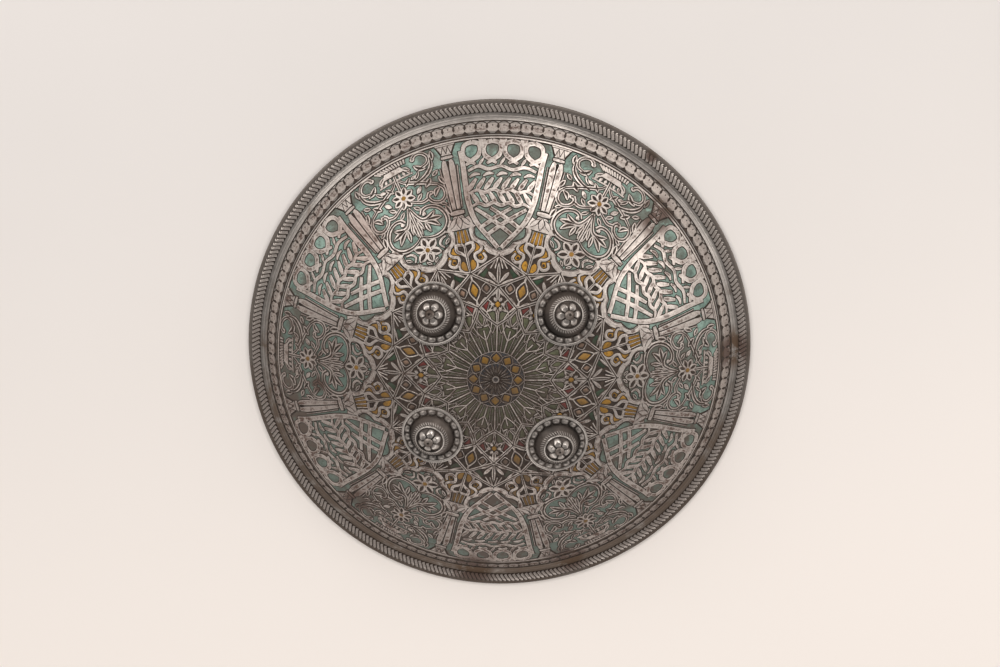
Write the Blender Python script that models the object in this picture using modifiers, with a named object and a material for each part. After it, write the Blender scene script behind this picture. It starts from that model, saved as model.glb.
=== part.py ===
"""A round convex steel shield with four bosses, lying on its rim with its face up.

The shield is one raised plate with a turned edge. Twelve columns and twelve pointed, lobed arches
stand on it in low relief. Four hollow bosses sit on its face, each held by a bolt that ends in an
eye inside the bowl.

Run it with blender --background --python part.py, or from Blender's text editor.
Metres, +Z up. The origin is at the centre of the circle that the rim rests on.
Angles go clockwise from +Y, seen from above.
"""

import math

import bmesh
import bpy
import numpy as np
from mathutils import Matrix, Vector

MM = 0.001

# The plate: driving sizes
RIM_RADIUS = 235.0 * MM
DOME_SPHERE_RADIUS = 330.0 * MM
SHEET = 1.7 * MM

# Bands of the turned edge, as widths seen from above, from the outside in
LIP_WIDTH = 3.8 * MM
ROPE_WIDTH = 7.7 * MM
GROOVE_WIDTH = 6.6 * MM
SCALLOP_WIDTH = 11.5 * MM

# Heights of the lip and the groove above the floor, and how far the rest stands over the groove
LIP_HEIGHT = 3.2 * MM
GROOVE_HEIGHT = 3.9 * MM
ROPE_RISE = 0.8 * MM
SCALLOP_FOOT_RISE = 1.9 * MM
DOME_EDGE_RISE = 16.0 * MM
ROPE_SHOULDER = 0.6 * MM
LIP_ROUND = 0.9 * MM
LIP_SEAT_WIDTH = 3.3 * MM

# Relief of the columns and arches. Lengths are seen from above, from the border inwards
BAYS = 12
RELIEF = 0.6 * MM
CAP_AND_BASE_RELIEF = 0.9 * MM
CAPITAL_LENGTH = 13.4 * MM
CAPITAL_TOP_HALF_WIDTH = 11.6 * MM
CAPITAL_FOOT_HALF_WIDTH = 6.6 * MM
SHAFT_GAP = 3.0 * MM
SHAFT_LENGTH = 38.4 * MM
SHAFT_TOP_HALF_WIDTH = 7.8 * MM
SHAFT_FOOT_HALF_WIDTH = 5.5 * MM
BASE_GAP = 2.6 * MM
BASE_LENGTH = 4.6 * MM
BASE_HALF_WIDTH = 7.0 * MM
PLINTH_GAP = 2.4 * MM
PLINTH_LENGTH = 8.8 * MM
PLINTH_HALF_WIDTH = 6.4 * MM

# The arch band, from a column's plinth to the point of the arch. Each row is a place along the
# half arch: how far its outer and its inner edge lie below the top of the plinth, then the share
# of half a bay at which the outer and the inner edge stand.
ARCH_POINTS = (
    (11.3 * MM, 20.2 * MM, 0.39, 0.31),
    (21.6 * MM, 25.4 * MM, 0.62, 0.57),
    (31.5 * MM, 34.1 * MM, 1.0, 1.0),
)
SPANDREL_SHARE = 0.2

# Each boss's place: its angle in degrees, and its distance from the middle seen from above.
# They were set by hand and aren't quite even.
BOSS_PLACES = (
    (45.6, 83.2 * MM),
    (137.3, 82.0 * MM),
    (224.8, 78.6 * MM),
    (314.9, 78.6 * MM),
)

# Bosses, as heights above the plate's face, and the bolts in them
BOSS_RADIUS = 28.0 * MM
BOSS_EDGE_HEIGHT = 1.8 * MM
BOSS_EDGE_WIDTH = 2.2 * MM
BOSS_CHANNEL_HEIGHT = 1.5 * MM
BOSS_BEAD_HEIGHT = 3.6 * MM
BOSS_BEAD_RADIUS = 22.6 * MM
BOSS_BEADS = 18
BOSS_BODY_FOOT_RADIUS = 19.4 * MM
BOSS_BODY_FOOT_HEIGHT = 2.6 * MM
BOSS_ROPE_RADIUS = 15.2 * MM
BOSS_ROPE_HEIGHT = 8.8 * MM
BOSS_PETALS = 6
BOSS_PETAL_RADIUS = 8.0 * MM
BOSS_PETAL_HEIGHT = 12.8 * MM
BOSS_PETAL_RELIEF = 1.0 * MM
BOSS_TOP_HEIGHT = 14.6 * MM
BOSS_TOP_RADIUS = 4.6 * MM
BOSS_WALL = 1.8 * MM
BOSS_FOOT_WIDTH = 8.0 * MM

BOLT_RADIUS = 2.5 * MM
BOLT_HEAD_RADIUS = 4.2 * MM
BOLT_HEAD_HEIGHT = 2.6 * MM
COLLAR_RADIUS = 6.5 * MM
COLLAR_THICKNESS = 1.6 * MM
STEM_LENGTH = 2.5 * MM
EYE_RADIUS = 8.0 * MM
EYE_HOLE_RADIUS = 4.6 * MM
EYE_THICKNESS = 4.5 * MM

SEAT_GAP = 0.3 * MM
HOLE_CLEARANCE = 0.3 * MM
COLLAR_CLEARANCE = 0.7 * MM

# How finely the solids are faceted
HALF_BAY_STEPS = 4
CENTRE_RINGS = 3
PLATE_STEPS = BAYS * 2 * HALF_BAY_STEPS
HOLLOW_STEPS = PLATE_STEPS // 2
HOLLOW_RINGS = 6
BOSS_STEPS = BOSS_BEADS * 2
BOLT_STEPS = 10
EYE_STEPS = 12
HOLE_STEPS = 10
MERGE = 0.00001

# Worked out from the sizes above
LIP_EDGE = RIM_RADIUS - LIP_WIDTH
ROPE_EDGE = LIP_EDGE - ROPE_WIDTH
GROOVE_EDGE = ROPE_EDGE - GROOVE_WIDTH
DOME_EDGE = GROOVE_EDGE - SCALLOP_WIDTH
ROPE_HEIGHT = GROOVE_HEIGHT + ROPE_RISE
SCALLOP_FOOT_HEIGHT = GROOVE_HEIGHT + SCALLOP_FOOT_RISE
SPHERE_CENTRE_HEIGHT = (
    GROOVE_HEIGHT + DOME_EDGE_RISE - math.sqrt(DOME_SPHERE_RADIUS**2 - DOME_EDGE**2)
)
CAPITAL_FOOT = DOME_EDGE - CAPITAL_LENGTH
SHAFT_TOP = CAPITAL_FOOT - SHAFT_GAP
SHAFT_FOOT = SHAFT_TOP - SHAFT_LENGTH
BASE_TOP = SHAFT_FOOT - BASE_GAP
BASE_FOOT = BASE_TOP - BASE_LENGTH
PLINTH_TOP = BASE_FOOT - PLINTH_GAP
PLINTH_FOOT = PLINTH_TOP - PLINTH_LENGTH
ARCH_POINT = PLINTH_TOP - ARCH_POINTS[-1][1]
HALF_BAY = math.pi / BAYS
BOLT_HOLE_RADIUS = BOLT_RADIUS + HOLE_CLEARANCE


def sphere_height(radius, sphere_radius=DOME_SPHERE_RADIUS):
    """Height above the floor of a sphere about the dome's centre, at a distance from the axis."""
    return SPHERE_CENTRE_HEIGHT + math.sqrt(sphere_radius**2 - radius**2)


def clear_objects():
    """Remove whatever the file holds, so the script can be run again."""
    for old in list(bpy.data.objects):
        bpy.data.objects.remove(old, do_unlink=True)


def new_collection(name):
    """A collection linked to the scene, emptied of an earlier run's name."""
    old = bpy.data.collections.get(name)
    if old is not None:
        bpy.data.collections.remove(old)
    collection = bpy.data.collections.new(name)
    bpy.context.scene.collection.children.link(collection)
    return collection


def metal(name, colour, roughness):
    """A Principled metal of one colour."""
    material = bpy.data.materials.new(name)
    material.use_nodes = True
    shader = material.node_tree.nodes["Principled BSDF"]
    shader.inputs["Base Color"].default_value = (*colour, 1.0)
    shader.inputs["Metallic"].default_value = 1.0
    shader.inputs["Roughness"].default_value = roughness
    return material


def evaluated_mesh(source, name):
    """The mesh of an object with its modifiers applied."""
    graph = bpy.context.evaluated_depsgraph_get()
    mesh = bpy.data.meshes.new_from_object(source.evaluated_get(graph))
    mesh.name = name
    return mesh


def turned_mesh(name, profile, steps, closed=False):
    """Turn a profile of (radius, height) points about Z with a Screw modifier.

    The points run down the outer side, top to bottom.
    """
    outline = bpy.data.meshes.new(name + "_profile")
    edges = [(i, i + 1) for i in range(len(profile) - 1)]
    if closed:
        edges.append((len(profile) - 1, 0))
    outline.from_pydata([(radius, 0.0, height) for radius, height in profile], edges, [])
    turned = bpy.data.objects.new(name + "_profile", outline)
    bpy.context.scene.collection.objects.link(turned)
    screw = turned.modifiers.new("Turn", "SCREW")
    screw.steps = steps
    screw.render_steps = steps
    screw.use_merge_vertices = True
    screw.merge_threshold = MERGE
    mesh = evaluated_mesh(turned, name)
    bpy.data.objects.remove(turned, do_unlink=True)
    return mesh


def add_object(name, mesh, collection, material=None):
    """Link a mesh as a named object, with its material."""
    piece = bpy.data.objects.new(name, mesh)
    collection.objects.link(piece)
    if material is not None:
        mesh.materials.clear()
        mesh.materials.append(material)
    mesh.shade_smooth()
    mesh.set_sharp_from_angle(angle=math.radians(35))
    return piece


def add_cutter(name, mesh, collection):
    """Link a mesh as a cutter, drawn as wire and left out of renders."""
    cutter = add_object(name, mesh, collection)
    cutter.hide_render = True
    cutter.display_type = "WIRE"
    return cutter


def cut(piece, cutter, operation="DIFFERENCE"):
    """Cut or join a piece with another by an exact Boolean."""
    boolean = piece.modifiers.new(cutter.name, "BOOLEAN")
    boolean.operation = operation
    boolean.object = cutter
    boolean.solver = "EXACT"


def face_profile():
    """The outside of the plate from the apex down to the floor, as (radius, height) points.

    Returns the points and the index of each ring that the relief needs.
    """
    inner_radii = [step / CENTRE_RINGS * ARCH_POINT for step in range(CENTRE_RINGS)]
    points = [(radius, sphere_height(radius)) for radius in inner_radii]
    rings = {}
    relief_rings = {
        "arch_inside": ARCH_POINT,
        "arch_outside": PLINTH_TOP,
        "base_foot": BASE_FOOT,
        "base_top": BASE_TOP,
        "shaft_foot": SHAFT_FOOT,
        "shaft_top": SHAFT_TOP,
        "capital_foot": CAPITAL_FOOT,
        "capital_top": DOME_EDGE,
    }
    for ring, radius in relief_rings.items():
        rings[ring] = len(points)
        points.append((radius, sphere_height(radius)))
    points += [
        (GROOVE_EDGE, SCALLOP_FOOT_HEIGHT),
        (ROPE_EDGE, GROOVE_HEIGHT),
        (ROPE_EDGE + ROPE_SHOULDER, ROPE_HEIGHT),
        (LIP_EDGE - ROPE_SHOULDER, ROPE_HEIGHT),
        (LIP_EDGE, LIP_HEIGHT),
        (RIM_RADIUS - LIP_ROUND, LIP_HEIGHT),
        (RIM_RADIUS, LIP_HEIGHT / 2),
        (RIM_RADIUS - LIP_ROUND, 0.0),
        (0.0, 0.0),
    ]
    return points, rings


def relief_grid(rings):
    """Where the turned grid's points go, for every ring of the relief.

    Returns for each ring a list of (angle, radius), one for each step of half a bay from a
    column's middle line to the middle of the bay.
    """
    even = [step / HALF_BAY_STEPS * HALF_BAY for step in range(HALF_BAY_STEPS + 1)]

    def column_ring(radius, half_width):
        return [(0.0, radius), (half_width / radius, radius)] + [(a, radius) for a in even[2:]]

    plinth_angle = PLINTH_HALF_WIDTH / PLINTH_TOP
    arch_outside = [(0.0, PLINTH_TOP), (plinth_angle, PLINTH_TOP)]
    arch_inside = [(0.0, PLINTH_FOOT), (SPANDREL_SHARE * HALF_BAY, PLINTH_FOOT)]
    for drop_outside, drop_inside, share_outside, share_inside in ARCH_POINTS:
        arch_outside.append((share_outside * HALF_BAY, PLINTH_TOP - drop_outside))
        arch_inside.append((share_inside * HALF_BAY, PLINTH_TOP - drop_inside))
    return {
        rings["arch_inside"]: arch_inside,
        rings["arch_outside"]: arch_outside,
        rings["base_foot"]: column_ring(BASE_FOOT, BASE_HALF_WIDTH),
        rings["base_top"]: column_ring(BASE_TOP, BASE_HALF_WIDTH),
        rings["shaft_foot"]: column_ring(SHAFT_FOOT, SHAFT_FOOT_HALF_WIDTH),
        rings["shaft_top"]: column_ring(SHAFT_TOP, SHAFT_TOP_HALF_WIDTH),
        rings["capital_foot"]: column_ring(CAPITAL_FOOT, CAPITAL_FOOT_HALF_WIDTH),
        rings["capital_top"]: column_ring(DOME_EDGE, CAPITAL_TOP_HALF_WIDTH),
    }


def clock_angle(x, y):
    """Angle clockwise from +Y, from 0 up to a full turn."""
    return math.atan2(x, y) % (2 * math.pi)


def half_bay_place(angle):
    """The nearest column's angle, the side of it, and the step from its middle line."""
    bay = 2 * HALF_BAY
    column = (math.floor(angle / bay) + 0.5) * bay
    offset = angle - column
    side = 1.0 if offset >= 0 else -1.0
    return column, side, abs(offset) / HALF_BAY * HALF_BAY_STEPS


def raise_faces(grid, faces, height):
    """Push a group of faces out along the dome's own normals."""
    centre = Vector((0.0, 0.0, SPHERE_CENTRE_HEIGHT))
    raised = bmesh.ops.extrude_face_region(grid, geom=faces)
    bmesh.ops.delete(grid, geom=faces, context="FACES")
    for part in raised["geom"]:
        if isinstance(part, bmesh.types.BMVert):
            part.co += (part.co - centre).normalized() * height


def relief_mesh():
    """The outside of the plate as a closed block, with its columns and arches raised."""
    profile, rings = face_profile()
    targets = relief_grid(rings)
    mesh = turned_mesh("shield_plate", profile, PLATE_STEPS)
    grid = bmesh.new()
    grid.from_mesh(mesh)
    dome_radii = np.array([radius for radius, _ in profile[: rings["capital_top"] + 1]])

    bands = {name: [] for name in ("arch", "base", "shaft", "capital")}
    column_bands = {
        rings["base_foot"]: "base",
        rings["shaft_foot"]: "shaft",
        rings["capital_foot"]: "capital",
    }
    for face in grid.faces:
        middle = face.calc_center_median()
        radius = math.hypot(middle.x, middle.y)
        if radius > DOME_EDGE or radius < dome_radii[1] or middle.z < SCALLOP_FOOT_HEIGHT:
            continue
        band = int(np.searchsorted(dome_radii, radius)) - 1
        _, _, step = half_bay_place(clock_angle(middle.x, middle.y))
        if band == rings["arch_inside"]:
            bands["arch"].append(face)
        elif band in column_bands and step < 1:
            bands[column_bands[band]].append(face)

    for vert in grid.verts:
        radius = math.hypot(vert.co.x, vert.co.y)
        ring = int(np.argmin(np.abs(dome_radii - radius)))
        if radius > DOME_EDGE + MERGE or vert.co.z < SCALLOP_FOOT_HEIGHT or ring not in targets:
            continue
        column, side, step = half_bay_place(clock_angle(vert.co.x, vert.co.y))
        offset, radius = targets[ring][round(step)]
        angle = column + side * offset
        vert.co = (radius * math.sin(angle), radius * math.cos(angle), sphere_height(radius))

    for name, faces in bands.items():
        raise_faces(grid, faces, RELIEF if name in ("arch", "shaft") else CAP_AND_BASE_RELIEF)
    bmesh.ops.recalc_face_normals(grid, faces=grid.faces)
    grid.to_mesh(mesh)
    grid.free()
    return mesh


def hollow_profile():
    """The inside of the bowl, one sheet's thickness under the face, as a cutter's profile."""
    inner_sphere = DOME_SPHERE_RADIUS - SHEET
    dome_edge = DOME_EDGE - SHEET
    points = []
    for ring in range(HOLLOW_RINGS + 1):
        radius = ring / HOLLOW_RINGS * dome_edge
        points.append((radius, sphere_height(radius, inner_sphere)))
    seat_edge = RIM_RADIUS - LIP_ROUND - LIP_SEAT_WIDTH
    points += [
        (GROOVE_EDGE - SHEET / 2, SCALLOP_FOOT_HEIGHT - SHEET),
        (ROPE_EDGE, GROOVE_HEIGHT - SHEET),
        (seat_edge, GROOVE_HEIGHT - SHEET),
        (seat_edge, -SHEET),
        (0.0, -SHEET),
    ]
    return points


def seat_matrix(angle_degrees, distance):
    """Places a boss: its axis along the dome's normal, its own X nearest the world's X."""
    angle = math.radians(angle_degrees)
    x = distance * math.sin(angle)
    y = distance * math.cos(angle)
    seat = Vector((x, y, sphere_height(distance)))
    up = (seat - Vector((0.0, 0.0, SPHERE_CENTRE_HEIGHT))).normalized()
    along = (Vector((1.0, 0.0, 0.0)) - up * up.x).normalized()
    across = up.cross(along)
    turn = Matrix((along, across, up)).transposed().to_4x4()
    return Matrix.Translation(seat) @ turn


def foot_height(radius):
    """Underside of a boss over the dome's curve, in the boss's own frame."""
    return math.sqrt(DOME_SPHERE_RADIUS**2 - radius**2) - DOME_SPHERE_RADIUS + SEAT_GAP


def boss_mesh():
    """A hollow boss: flat edge, beaded channel, rope shoulder and a six-petalled cap."""
    channel_edge = BOSS_RADIUS - BOSS_EDGE_WIDTH
    foot_inside = BOSS_RADIUS - BOSS_FOOT_WIDTH
    hole = BOLT_HOLE_RADIUS
    profile = [
        (hole, BOSS_TOP_HEIGHT),
        (BOSS_TOP_RADIUS, BOSS_TOP_HEIGHT),
        (BOSS_PETAL_RADIUS, BOSS_PETAL_HEIGHT),
        (BOSS_ROPE_RADIUS, BOSS_ROPE_HEIGHT),
        (BOSS_BODY_FOOT_RADIUS, BOSS_BODY_FOOT_HEIGHT),
        (BOSS_BEAD_RADIUS, BOSS_BEAD_HEIGHT),
        (channel_edge, BOSS_EDGE_HEIGHT),
        (BOSS_RADIUS, BOSS_EDGE_HEIGHT),
        (BOSS_RADIUS, foot_height(BOSS_RADIUS)),
        (foot_inside, foot_height(foot_inside)),
        (BOSS_ROPE_RADIUS - BOSS_WALL, BOSS_ROPE_HEIGHT - BOSS_WALL),
        (hole, BOSS_TOP_HEIGHT - BOSS_WALL),
    ]
    mesh = turned_mesh("boss", profile, BOSS_STEPS, closed=True)
    for vert in mesh.vertices:
        radius = math.hypot(vert.co.x, vert.co.y)
        angle = clock_angle(vert.co.x, vert.co.y)
        if abs(radius - BOSS_BEAD_RADIUS) < MERGE:
            notch = (1 - math.cos(BOSS_BEADS * angle)) / 2
            vert.co.z -= notch * (BOSS_BEAD_HEIGHT - BOSS_CHANNEL_HEIGHT)
        if abs(radius - BOSS_PETAL_RADIUS) < MERGE:
            vert.co.z += BOSS_PETAL_RELIEF * math.cos(BOSS_PETALS * angle)
    return mesh


def bolt_mesh():
    """A bolt's turned part: small head on the boss, shank, and a collar inside the bowl."""
    head_seat = BOSS_TOP_HEIGHT + SEAT_GAP
    collar_top = -SHEET - COLLAR_CLEARANCE
    collar_foot = collar_top - COLLAR_THICKNESS
    profile = [
        (0.0, head_seat + BOLT_HEAD_HEIGHT),
        (BOLT_HEAD_RADIUS * 0.6, head_seat + BOLT_HEAD_HEIGHT * 0.8),
        (BOLT_HEAD_RADIUS, head_seat),
        (BOLT_RADIUS, head_seat),
        (BOLT_RADIUS, collar_top),
        (COLLAR_RADIUS, collar_top),
        (COLLAR_RADIUS, collar_foot),
        (BOLT_RADIUS, collar_foot),
        (BOLT_RADIUS, collar_foot - STEM_LENGTH - (EYE_RADIUS - EYE_HOLE_RADIUS) / 2),
        (0.0, collar_foot - STEM_LENGTH - (EYE_RADIUS - EYE_HOLE_RADIUS) / 2),
    ]
    return turned_mesh("bolt", profile, BOLT_STEPS)


def eye_centre_height():
    """Height of an eye's centre in its bolt's frame."""
    return -SHEET - COLLAR_CLEARANCE - COLLAR_THICKNESS - STEM_LENGTH - EYE_RADIUS


def lying_cylinder(name, radius, length, steps):
    """A cylinder along its own X, at the height of the eye's centre."""
    shape = bmesh.new()
    bmesh.ops.create_cone(
        shape, cap_ends=True, segments=steps, radius1=radius, radius2=radius, depth=length
    )
    turn = Matrix.Rotation(math.radians(90), 4, "Y")
    lift = Matrix.Translation((0.0, 0.0, eye_centre_height()))
    bmesh.ops.transform(shape, matrix=lift @ turn, verts=shape.verts)
    mesh = bpy.data.meshes.new(name)
    shape.to_mesh(mesh)
    shape.free()
    return mesh


def build_plate(parts, cutters, steel):
    """The plate: relief outside, hollow inside, and four holes for the bolts."""
    plate = add_object("shield_plate", relief_mesh(), parts, steel)
    depth = 4 * SHEET
    for number, place in enumerate(BOSS_PLACES, start=1):
        hole = [
            (0.0, depth),
            (BOLT_HOLE_RADIUS, depth),
            (BOLT_HOLE_RADIUS, -depth),
            (0.0, -depth),
        ]
        name = f"bolt_hole_{number}"
        drill = add_cutter(name, turned_mesh(name, hole, HOLE_STEPS), cutters)
        drill.matrix_world = seat_matrix(*place)
        cut(plate, drill)
    hollow = turned_mesh("bowl_hollow", hollow_profile(), HOLLOW_STEPS)
    cut(plate, add_cutter("bowl_hollow", hollow, cutters))


def build_bosses(parts, iron):
    """Four bosses that share one mesh."""
    mesh = boss_mesh()
    for number, place in enumerate(BOSS_PLACES, start=1):
        boss = add_object(f"boss_{number}", mesh, parts, iron)
        boss.matrix_world = seat_matrix(*place)


def build_bolts(parts, cutters, dark_iron):
    """Four bolts: the turned part joined to a pierced eye."""
    eye = lying_cylinder("eye", EYE_RADIUS, EYE_THICKNESS, EYE_STEPS)
    pierce = lying_cylinder("eye_hole", EYE_HOLE_RADIUS, 3 * EYE_THICKNESS, HOLE_STEPS)
    eye_join = add_cutter("eye", eye, cutters)
    eye_drill = add_cutter("eye_hole", pierce, cutters)
    blank = add_cutter("bolt_blank", bolt_mesh(), cutters)
    cut(blank, eye_join, "UNION")
    cut(blank, eye_drill)
    bpy.context.view_layer.update()
    mesh = evaluated_mesh(blank, "bolt")
    for number, place in enumerate(BOSS_PLACES, start=1):
        bolt = add_object(f"bolt_{number}", mesh, parts, dark_iron)
        bolt.matrix_world = seat_matrix(*place)


def main():
    clear_objects()
    parts = new_collection("Shield")
    cutters = new_collection("Shield cutters")
    build_plate(parts, cutters, metal("worked_steel", (0.33, 0.31, 0.29), 0.42))
    build_bosses(parts, metal("boss_iron", (0.30, 0.27, 0.25), 0.45))
    build_bolts(parts, cutters, metal("bolt_iron", (0.20, 0.18, 0.16), 0.55))


main()
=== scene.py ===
"""The looks of a round convex shield: steel with engraved silver inlay over coloured grounds.

Every piece is a surface worked out with numpy in millimetres and laid on the plate that the frame
gives. Angles go clockwise from +Y, seen from above. A panel's own chart has x across the panel and
depth from the ornament's border towards the middle, both measured along the dome.
"""

import math

import bpy
import numpy as np
from bpy.props import FloatProperty, FloatVectorProperty, IntProperty, PointerProperty
from mathutils import Matrix, Vector


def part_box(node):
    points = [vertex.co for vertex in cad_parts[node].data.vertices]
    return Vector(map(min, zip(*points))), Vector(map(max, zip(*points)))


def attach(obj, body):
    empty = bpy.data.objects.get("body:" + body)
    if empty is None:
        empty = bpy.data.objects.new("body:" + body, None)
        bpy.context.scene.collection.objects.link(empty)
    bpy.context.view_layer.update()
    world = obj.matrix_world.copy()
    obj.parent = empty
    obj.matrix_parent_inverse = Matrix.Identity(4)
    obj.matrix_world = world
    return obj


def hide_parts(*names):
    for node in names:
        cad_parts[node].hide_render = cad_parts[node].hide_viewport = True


bl_info = {
    "name": "Inlaid round shield",
    "version": (1, 0, 0),
    "blender": (4, 5, 0),
    "location": "3D View > Sidebar > Shield",
    "description": "Builds the inlaid, engraved and bossed face of a round steel shield",
    "category": "Object",
}

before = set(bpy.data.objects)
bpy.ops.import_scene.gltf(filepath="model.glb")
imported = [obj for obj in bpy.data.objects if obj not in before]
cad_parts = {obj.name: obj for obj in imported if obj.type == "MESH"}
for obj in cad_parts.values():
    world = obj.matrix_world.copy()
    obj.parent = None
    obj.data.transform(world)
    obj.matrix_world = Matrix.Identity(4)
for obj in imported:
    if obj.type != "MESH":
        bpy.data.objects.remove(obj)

MM = 0.001
BODY = "root"

# The plate, repeated from the construction, in millimetres
RIM_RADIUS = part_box("shield_plate")[1].x / MM
LIP_EDGE = RIM_RADIUS - 3.8
ROPE_EDGE = LIP_EDGE - 7.7
GROOVE_EDGE = ROPE_EDGE - 6.6
DOME_EDGE = GROOVE_EDGE - 11.5
LIP_HEIGHT = 3.2
GROOVE_HEIGHT = 3.9
ROPE_HEIGHT = 4.7
SCALLOP_FOOT = 5.8
SHEET = 1.7
SPHERE = 330.0
SPHERE_Z = GROOVE_HEIGHT + 16.0 - math.sqrt(SPHERE**2 - DOME_EDGE**2)
DOME_ARC = SPHERE * math.asin(DOME_EDGE / SPHERE)
BOSS_PLACES = ((45.6, 83.2), (137.3, 82.0), (224.8, 78.6), (314.9, 78.6))

PANELS = 12
BAY = 360.0 / PANELS
FLOWER_AXES = tuple(BAY * (2 * k + 1) for k in range(PANELS // 2))
STROKE_AXES = tuple(BAY * 2 * k for k in range(PANELS // 2))
ALL_AXES = tuple(BAY * k for k in range(PANELS))
COLUMN_AXES = tuple(BAY * (k + 0.5) for k in range(PANELS))

# Heights over the plate's face. A foot is how deep a stroke stands in the plate
FOOT = 0.35
CUT_TOP = 0.16
# How far apart the points of a line are set
STEP = 1.5
# Strokes laid one after another differ a little in height, so that no two faces coincide
LIFTS = 9
JITTER = 0.007
# The least share of its half-width that a cross-section keeps
NARROWEST = 0.35

# Places as an angle, a share of the rim's radius and a reach in millimetres
STAINS = ((45.0, 0.83, 24.0), (223.0, 0.82, 23.0), (87.0, 0.93, 26.0), (160.0, 0.9, 30.0),
          (185.0, 0.92, 33.0), (262.0, 0.7, 12.0), (35.3, 0.98, 9.0))
# Painted shade is laid about these places: the left panel and the middle.
SHADED_PLACES = ((262.0, 0.74, 110.0), (0.0, 0.0, 50.0))


def length_field(name, description, millimetres):
    return FloatProperty(name=name, description=description, default=millimetres * MM, unit="LENGTH")


def colour_field(name, description, default):
    return FloatVectorProperty(
        name=name, description=description, subtype="COLOR", size=3, default=default)


class ShieldSizes(bpy.types.PropertyGroup):
    """Sizes of the inlay, in metres, and the counts round the rim."""

    inlay_height: length_field("Inlay height", "How far the silver stands over the plate", 0.45)
    outline_width: length_field("Outline", "Width of the dark cut beside each silver stroke", 0.68)
    enamel_height: length_field("Ground height", "How far the coloured grounds stand over the plate", 0.07)
    column_height: length_field("Column relief", "How far the columns and arches stand over the plate", 0.6)
    rope_strokes: IntProperty(
        name="Rope strokes", description="Oblique strokes round the rope band", default=348)
    scallops: IntProperty(
        name="Scallops", description="Lobes round the scalloped band", default=132)


class ShieldColours(bpy.types.PropertyGroup):
    """Colours of the metal and of the grounds."""

    silver: colour_field("Silver", "Inlaid strokes", (0.50, 0.445, 0.405))
    steel: colour_field("Steel", "Plain bands and the inside", (0.33, 0.30, 0.275))
    cut: colour_field("Cut", "Dark engraved lines and bare ground", (0.036, 0.025, 0.019))
    turquoise: colour_field("Turquoise", "Ground of the panels", (0.165, 0.252, 0.21))
    amber: colour_field("Amber", "Yellow-brown cells", (0.33, 0.165, 0.016))
    beige: colour_field("Beige", "Small faded diamonds of the star", (0.20, 0.125, 0.085))
    red: colour_field("Red", "Red cells", (0.135, 0.019, 0.017))
    green: colour_field("Green", "Dark green cells", (0.022, 0.048, 0.024))
    olive: colour_field("Olive", "Grey-green cells near the middle", (0.085, 0.088, 0.048))
    blue: colour_field("Blue", "Blue-grey ground in the middle", (0.035, 0.045, 0.06))


def sizes():
    return bpy.context.scene.shield_sizes


def colours():
    return bpy.context.scene.shield_colours


# Places

def circle(steps):
    """Angles in radians, evenly round a whole turn."""
    return np.linspace(0.0, 2 * np.pi, steps, endpoint=False)


def about(radius, angle):
    """Plan points at distances from the axis and angles in radians, clockwise from +Y."""
    return np.stack([radius * np.sin(angle), radius * np.cos(angle)], axis=-1)


def spatial(plan, height):
    """Plan points with their heights."""
    return np.concatenate([plan, np.broadcast_to(height, plan.shape[:-1])[..., None]], axis=-1)


def face_height(radius):
    """Height of the plate's face over the floor at a distance from the axis.

    A sphere inside the border, a straight slope down the scalloped band, a shallow hollow for the
    groove, a low flat rope band, and the lip.
    """
    radius = np.asarray(radius, float)
    dome = SPHERE_Z + np.sqrt(SPHERE**2 - np.minimum(radius, DOME_EDGE) ** 2)
    share = np.clip((radius - DOME_EDGE) / (GROOVE_EDGE - DOME_EDGE), 0, 1)
    slope = dome + (SCALLOP_FOOT - (GROOVE_HEIGHT + 16.0)) * share
    across = np.clip((radius - GROOVE_EDGE) / (ROPE_EDGE - GROOVE_EDGE), 0, 1)
    groove = SCALLOP_FOOT + (GROOVE_HEIGHT - SCALLOP_FOOT) * (1 - (1 - across) ** 2)
    rope = np.interp(radius, [ROPE_EDGE, ROPE_EDGE + 0.6, LIP_EDGE - 0.6, LIP_EDGE],
                     [GROOVE_HEIGHT, ROPE_HEIGHT, ROPE_HEIGHT, LIP_HEIGHT])
    height = np.where(radius <= GROOVE_EDGE, slope, groove)
    return np.where(radius > ROPE_EDGE, rope, height)


def lift(plan):
    """Points and outward normals on the plate's face over plan points (x, y).

    The height is the face's own; the normal leans out by the face's slope there.
    """
    radius = np.maximum(np.hypot(plan[..., 0], plan[..., 1]), 1e-6)
    small = 0.05
    slope = (face_height(radius + small) - face_height(np.maximum(radius - small, 0))) / (
        small + np.minimum(radius, small))
    points = spatial(plan, face_height(radius))
    outward = plan / radius[..., None]
    normals = spatial(-slope[..., None] * outward, 1.0)
    return points, normals / np.linalg.norm(normals, axis=-1, keepdims=True)


def chart(points):
    """Plan points of panel points (x, depth): depth runs down a meridian, x along a parallel."""
    points = np.asarray(points, float)
    radius = SPHERE * np.sin((DOME_ARC - points[..., 1]) / SPHERE)
    return about(radius, points[..., 0] / radius)


def polar(points):
    """Plan points of (angle in degrees, share of the rim's radius)."""
    points = np.asarray(points, float)
    return about(points[..., 1] * RIM_RADIUS, np.radians(points[..., 0]))


def turned(points, degrees):
    """Points turned clockwise about the shield's axis, seen from above."""
    c, s = math.cos(math.radians(degrees)), math.sin(math.radians(degrees))
    turn = np.array([[c, s, 0.0], [-s, c, 0.0], [0.0, 0.0, 1.0]])
    return points @ turn.T


# Paths

def resampled(path, step=STEP):
    """The same line with points an even step apart, its two ends kept."""
    path = np.asarray(path, float)
    along = np.concatenate([[0.0], np.cumsum(np.linalg.norm(np.diff(path, axis=0), axis=1))])
    count = max(int(round(along[-1] / step)) + 1, 2)
    at = np.linspace(0.0, along[-1], count)
    return np.stack([np.interp(at, along, path[:, i]) for i in range(path.shape[1])], axis=1)


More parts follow.
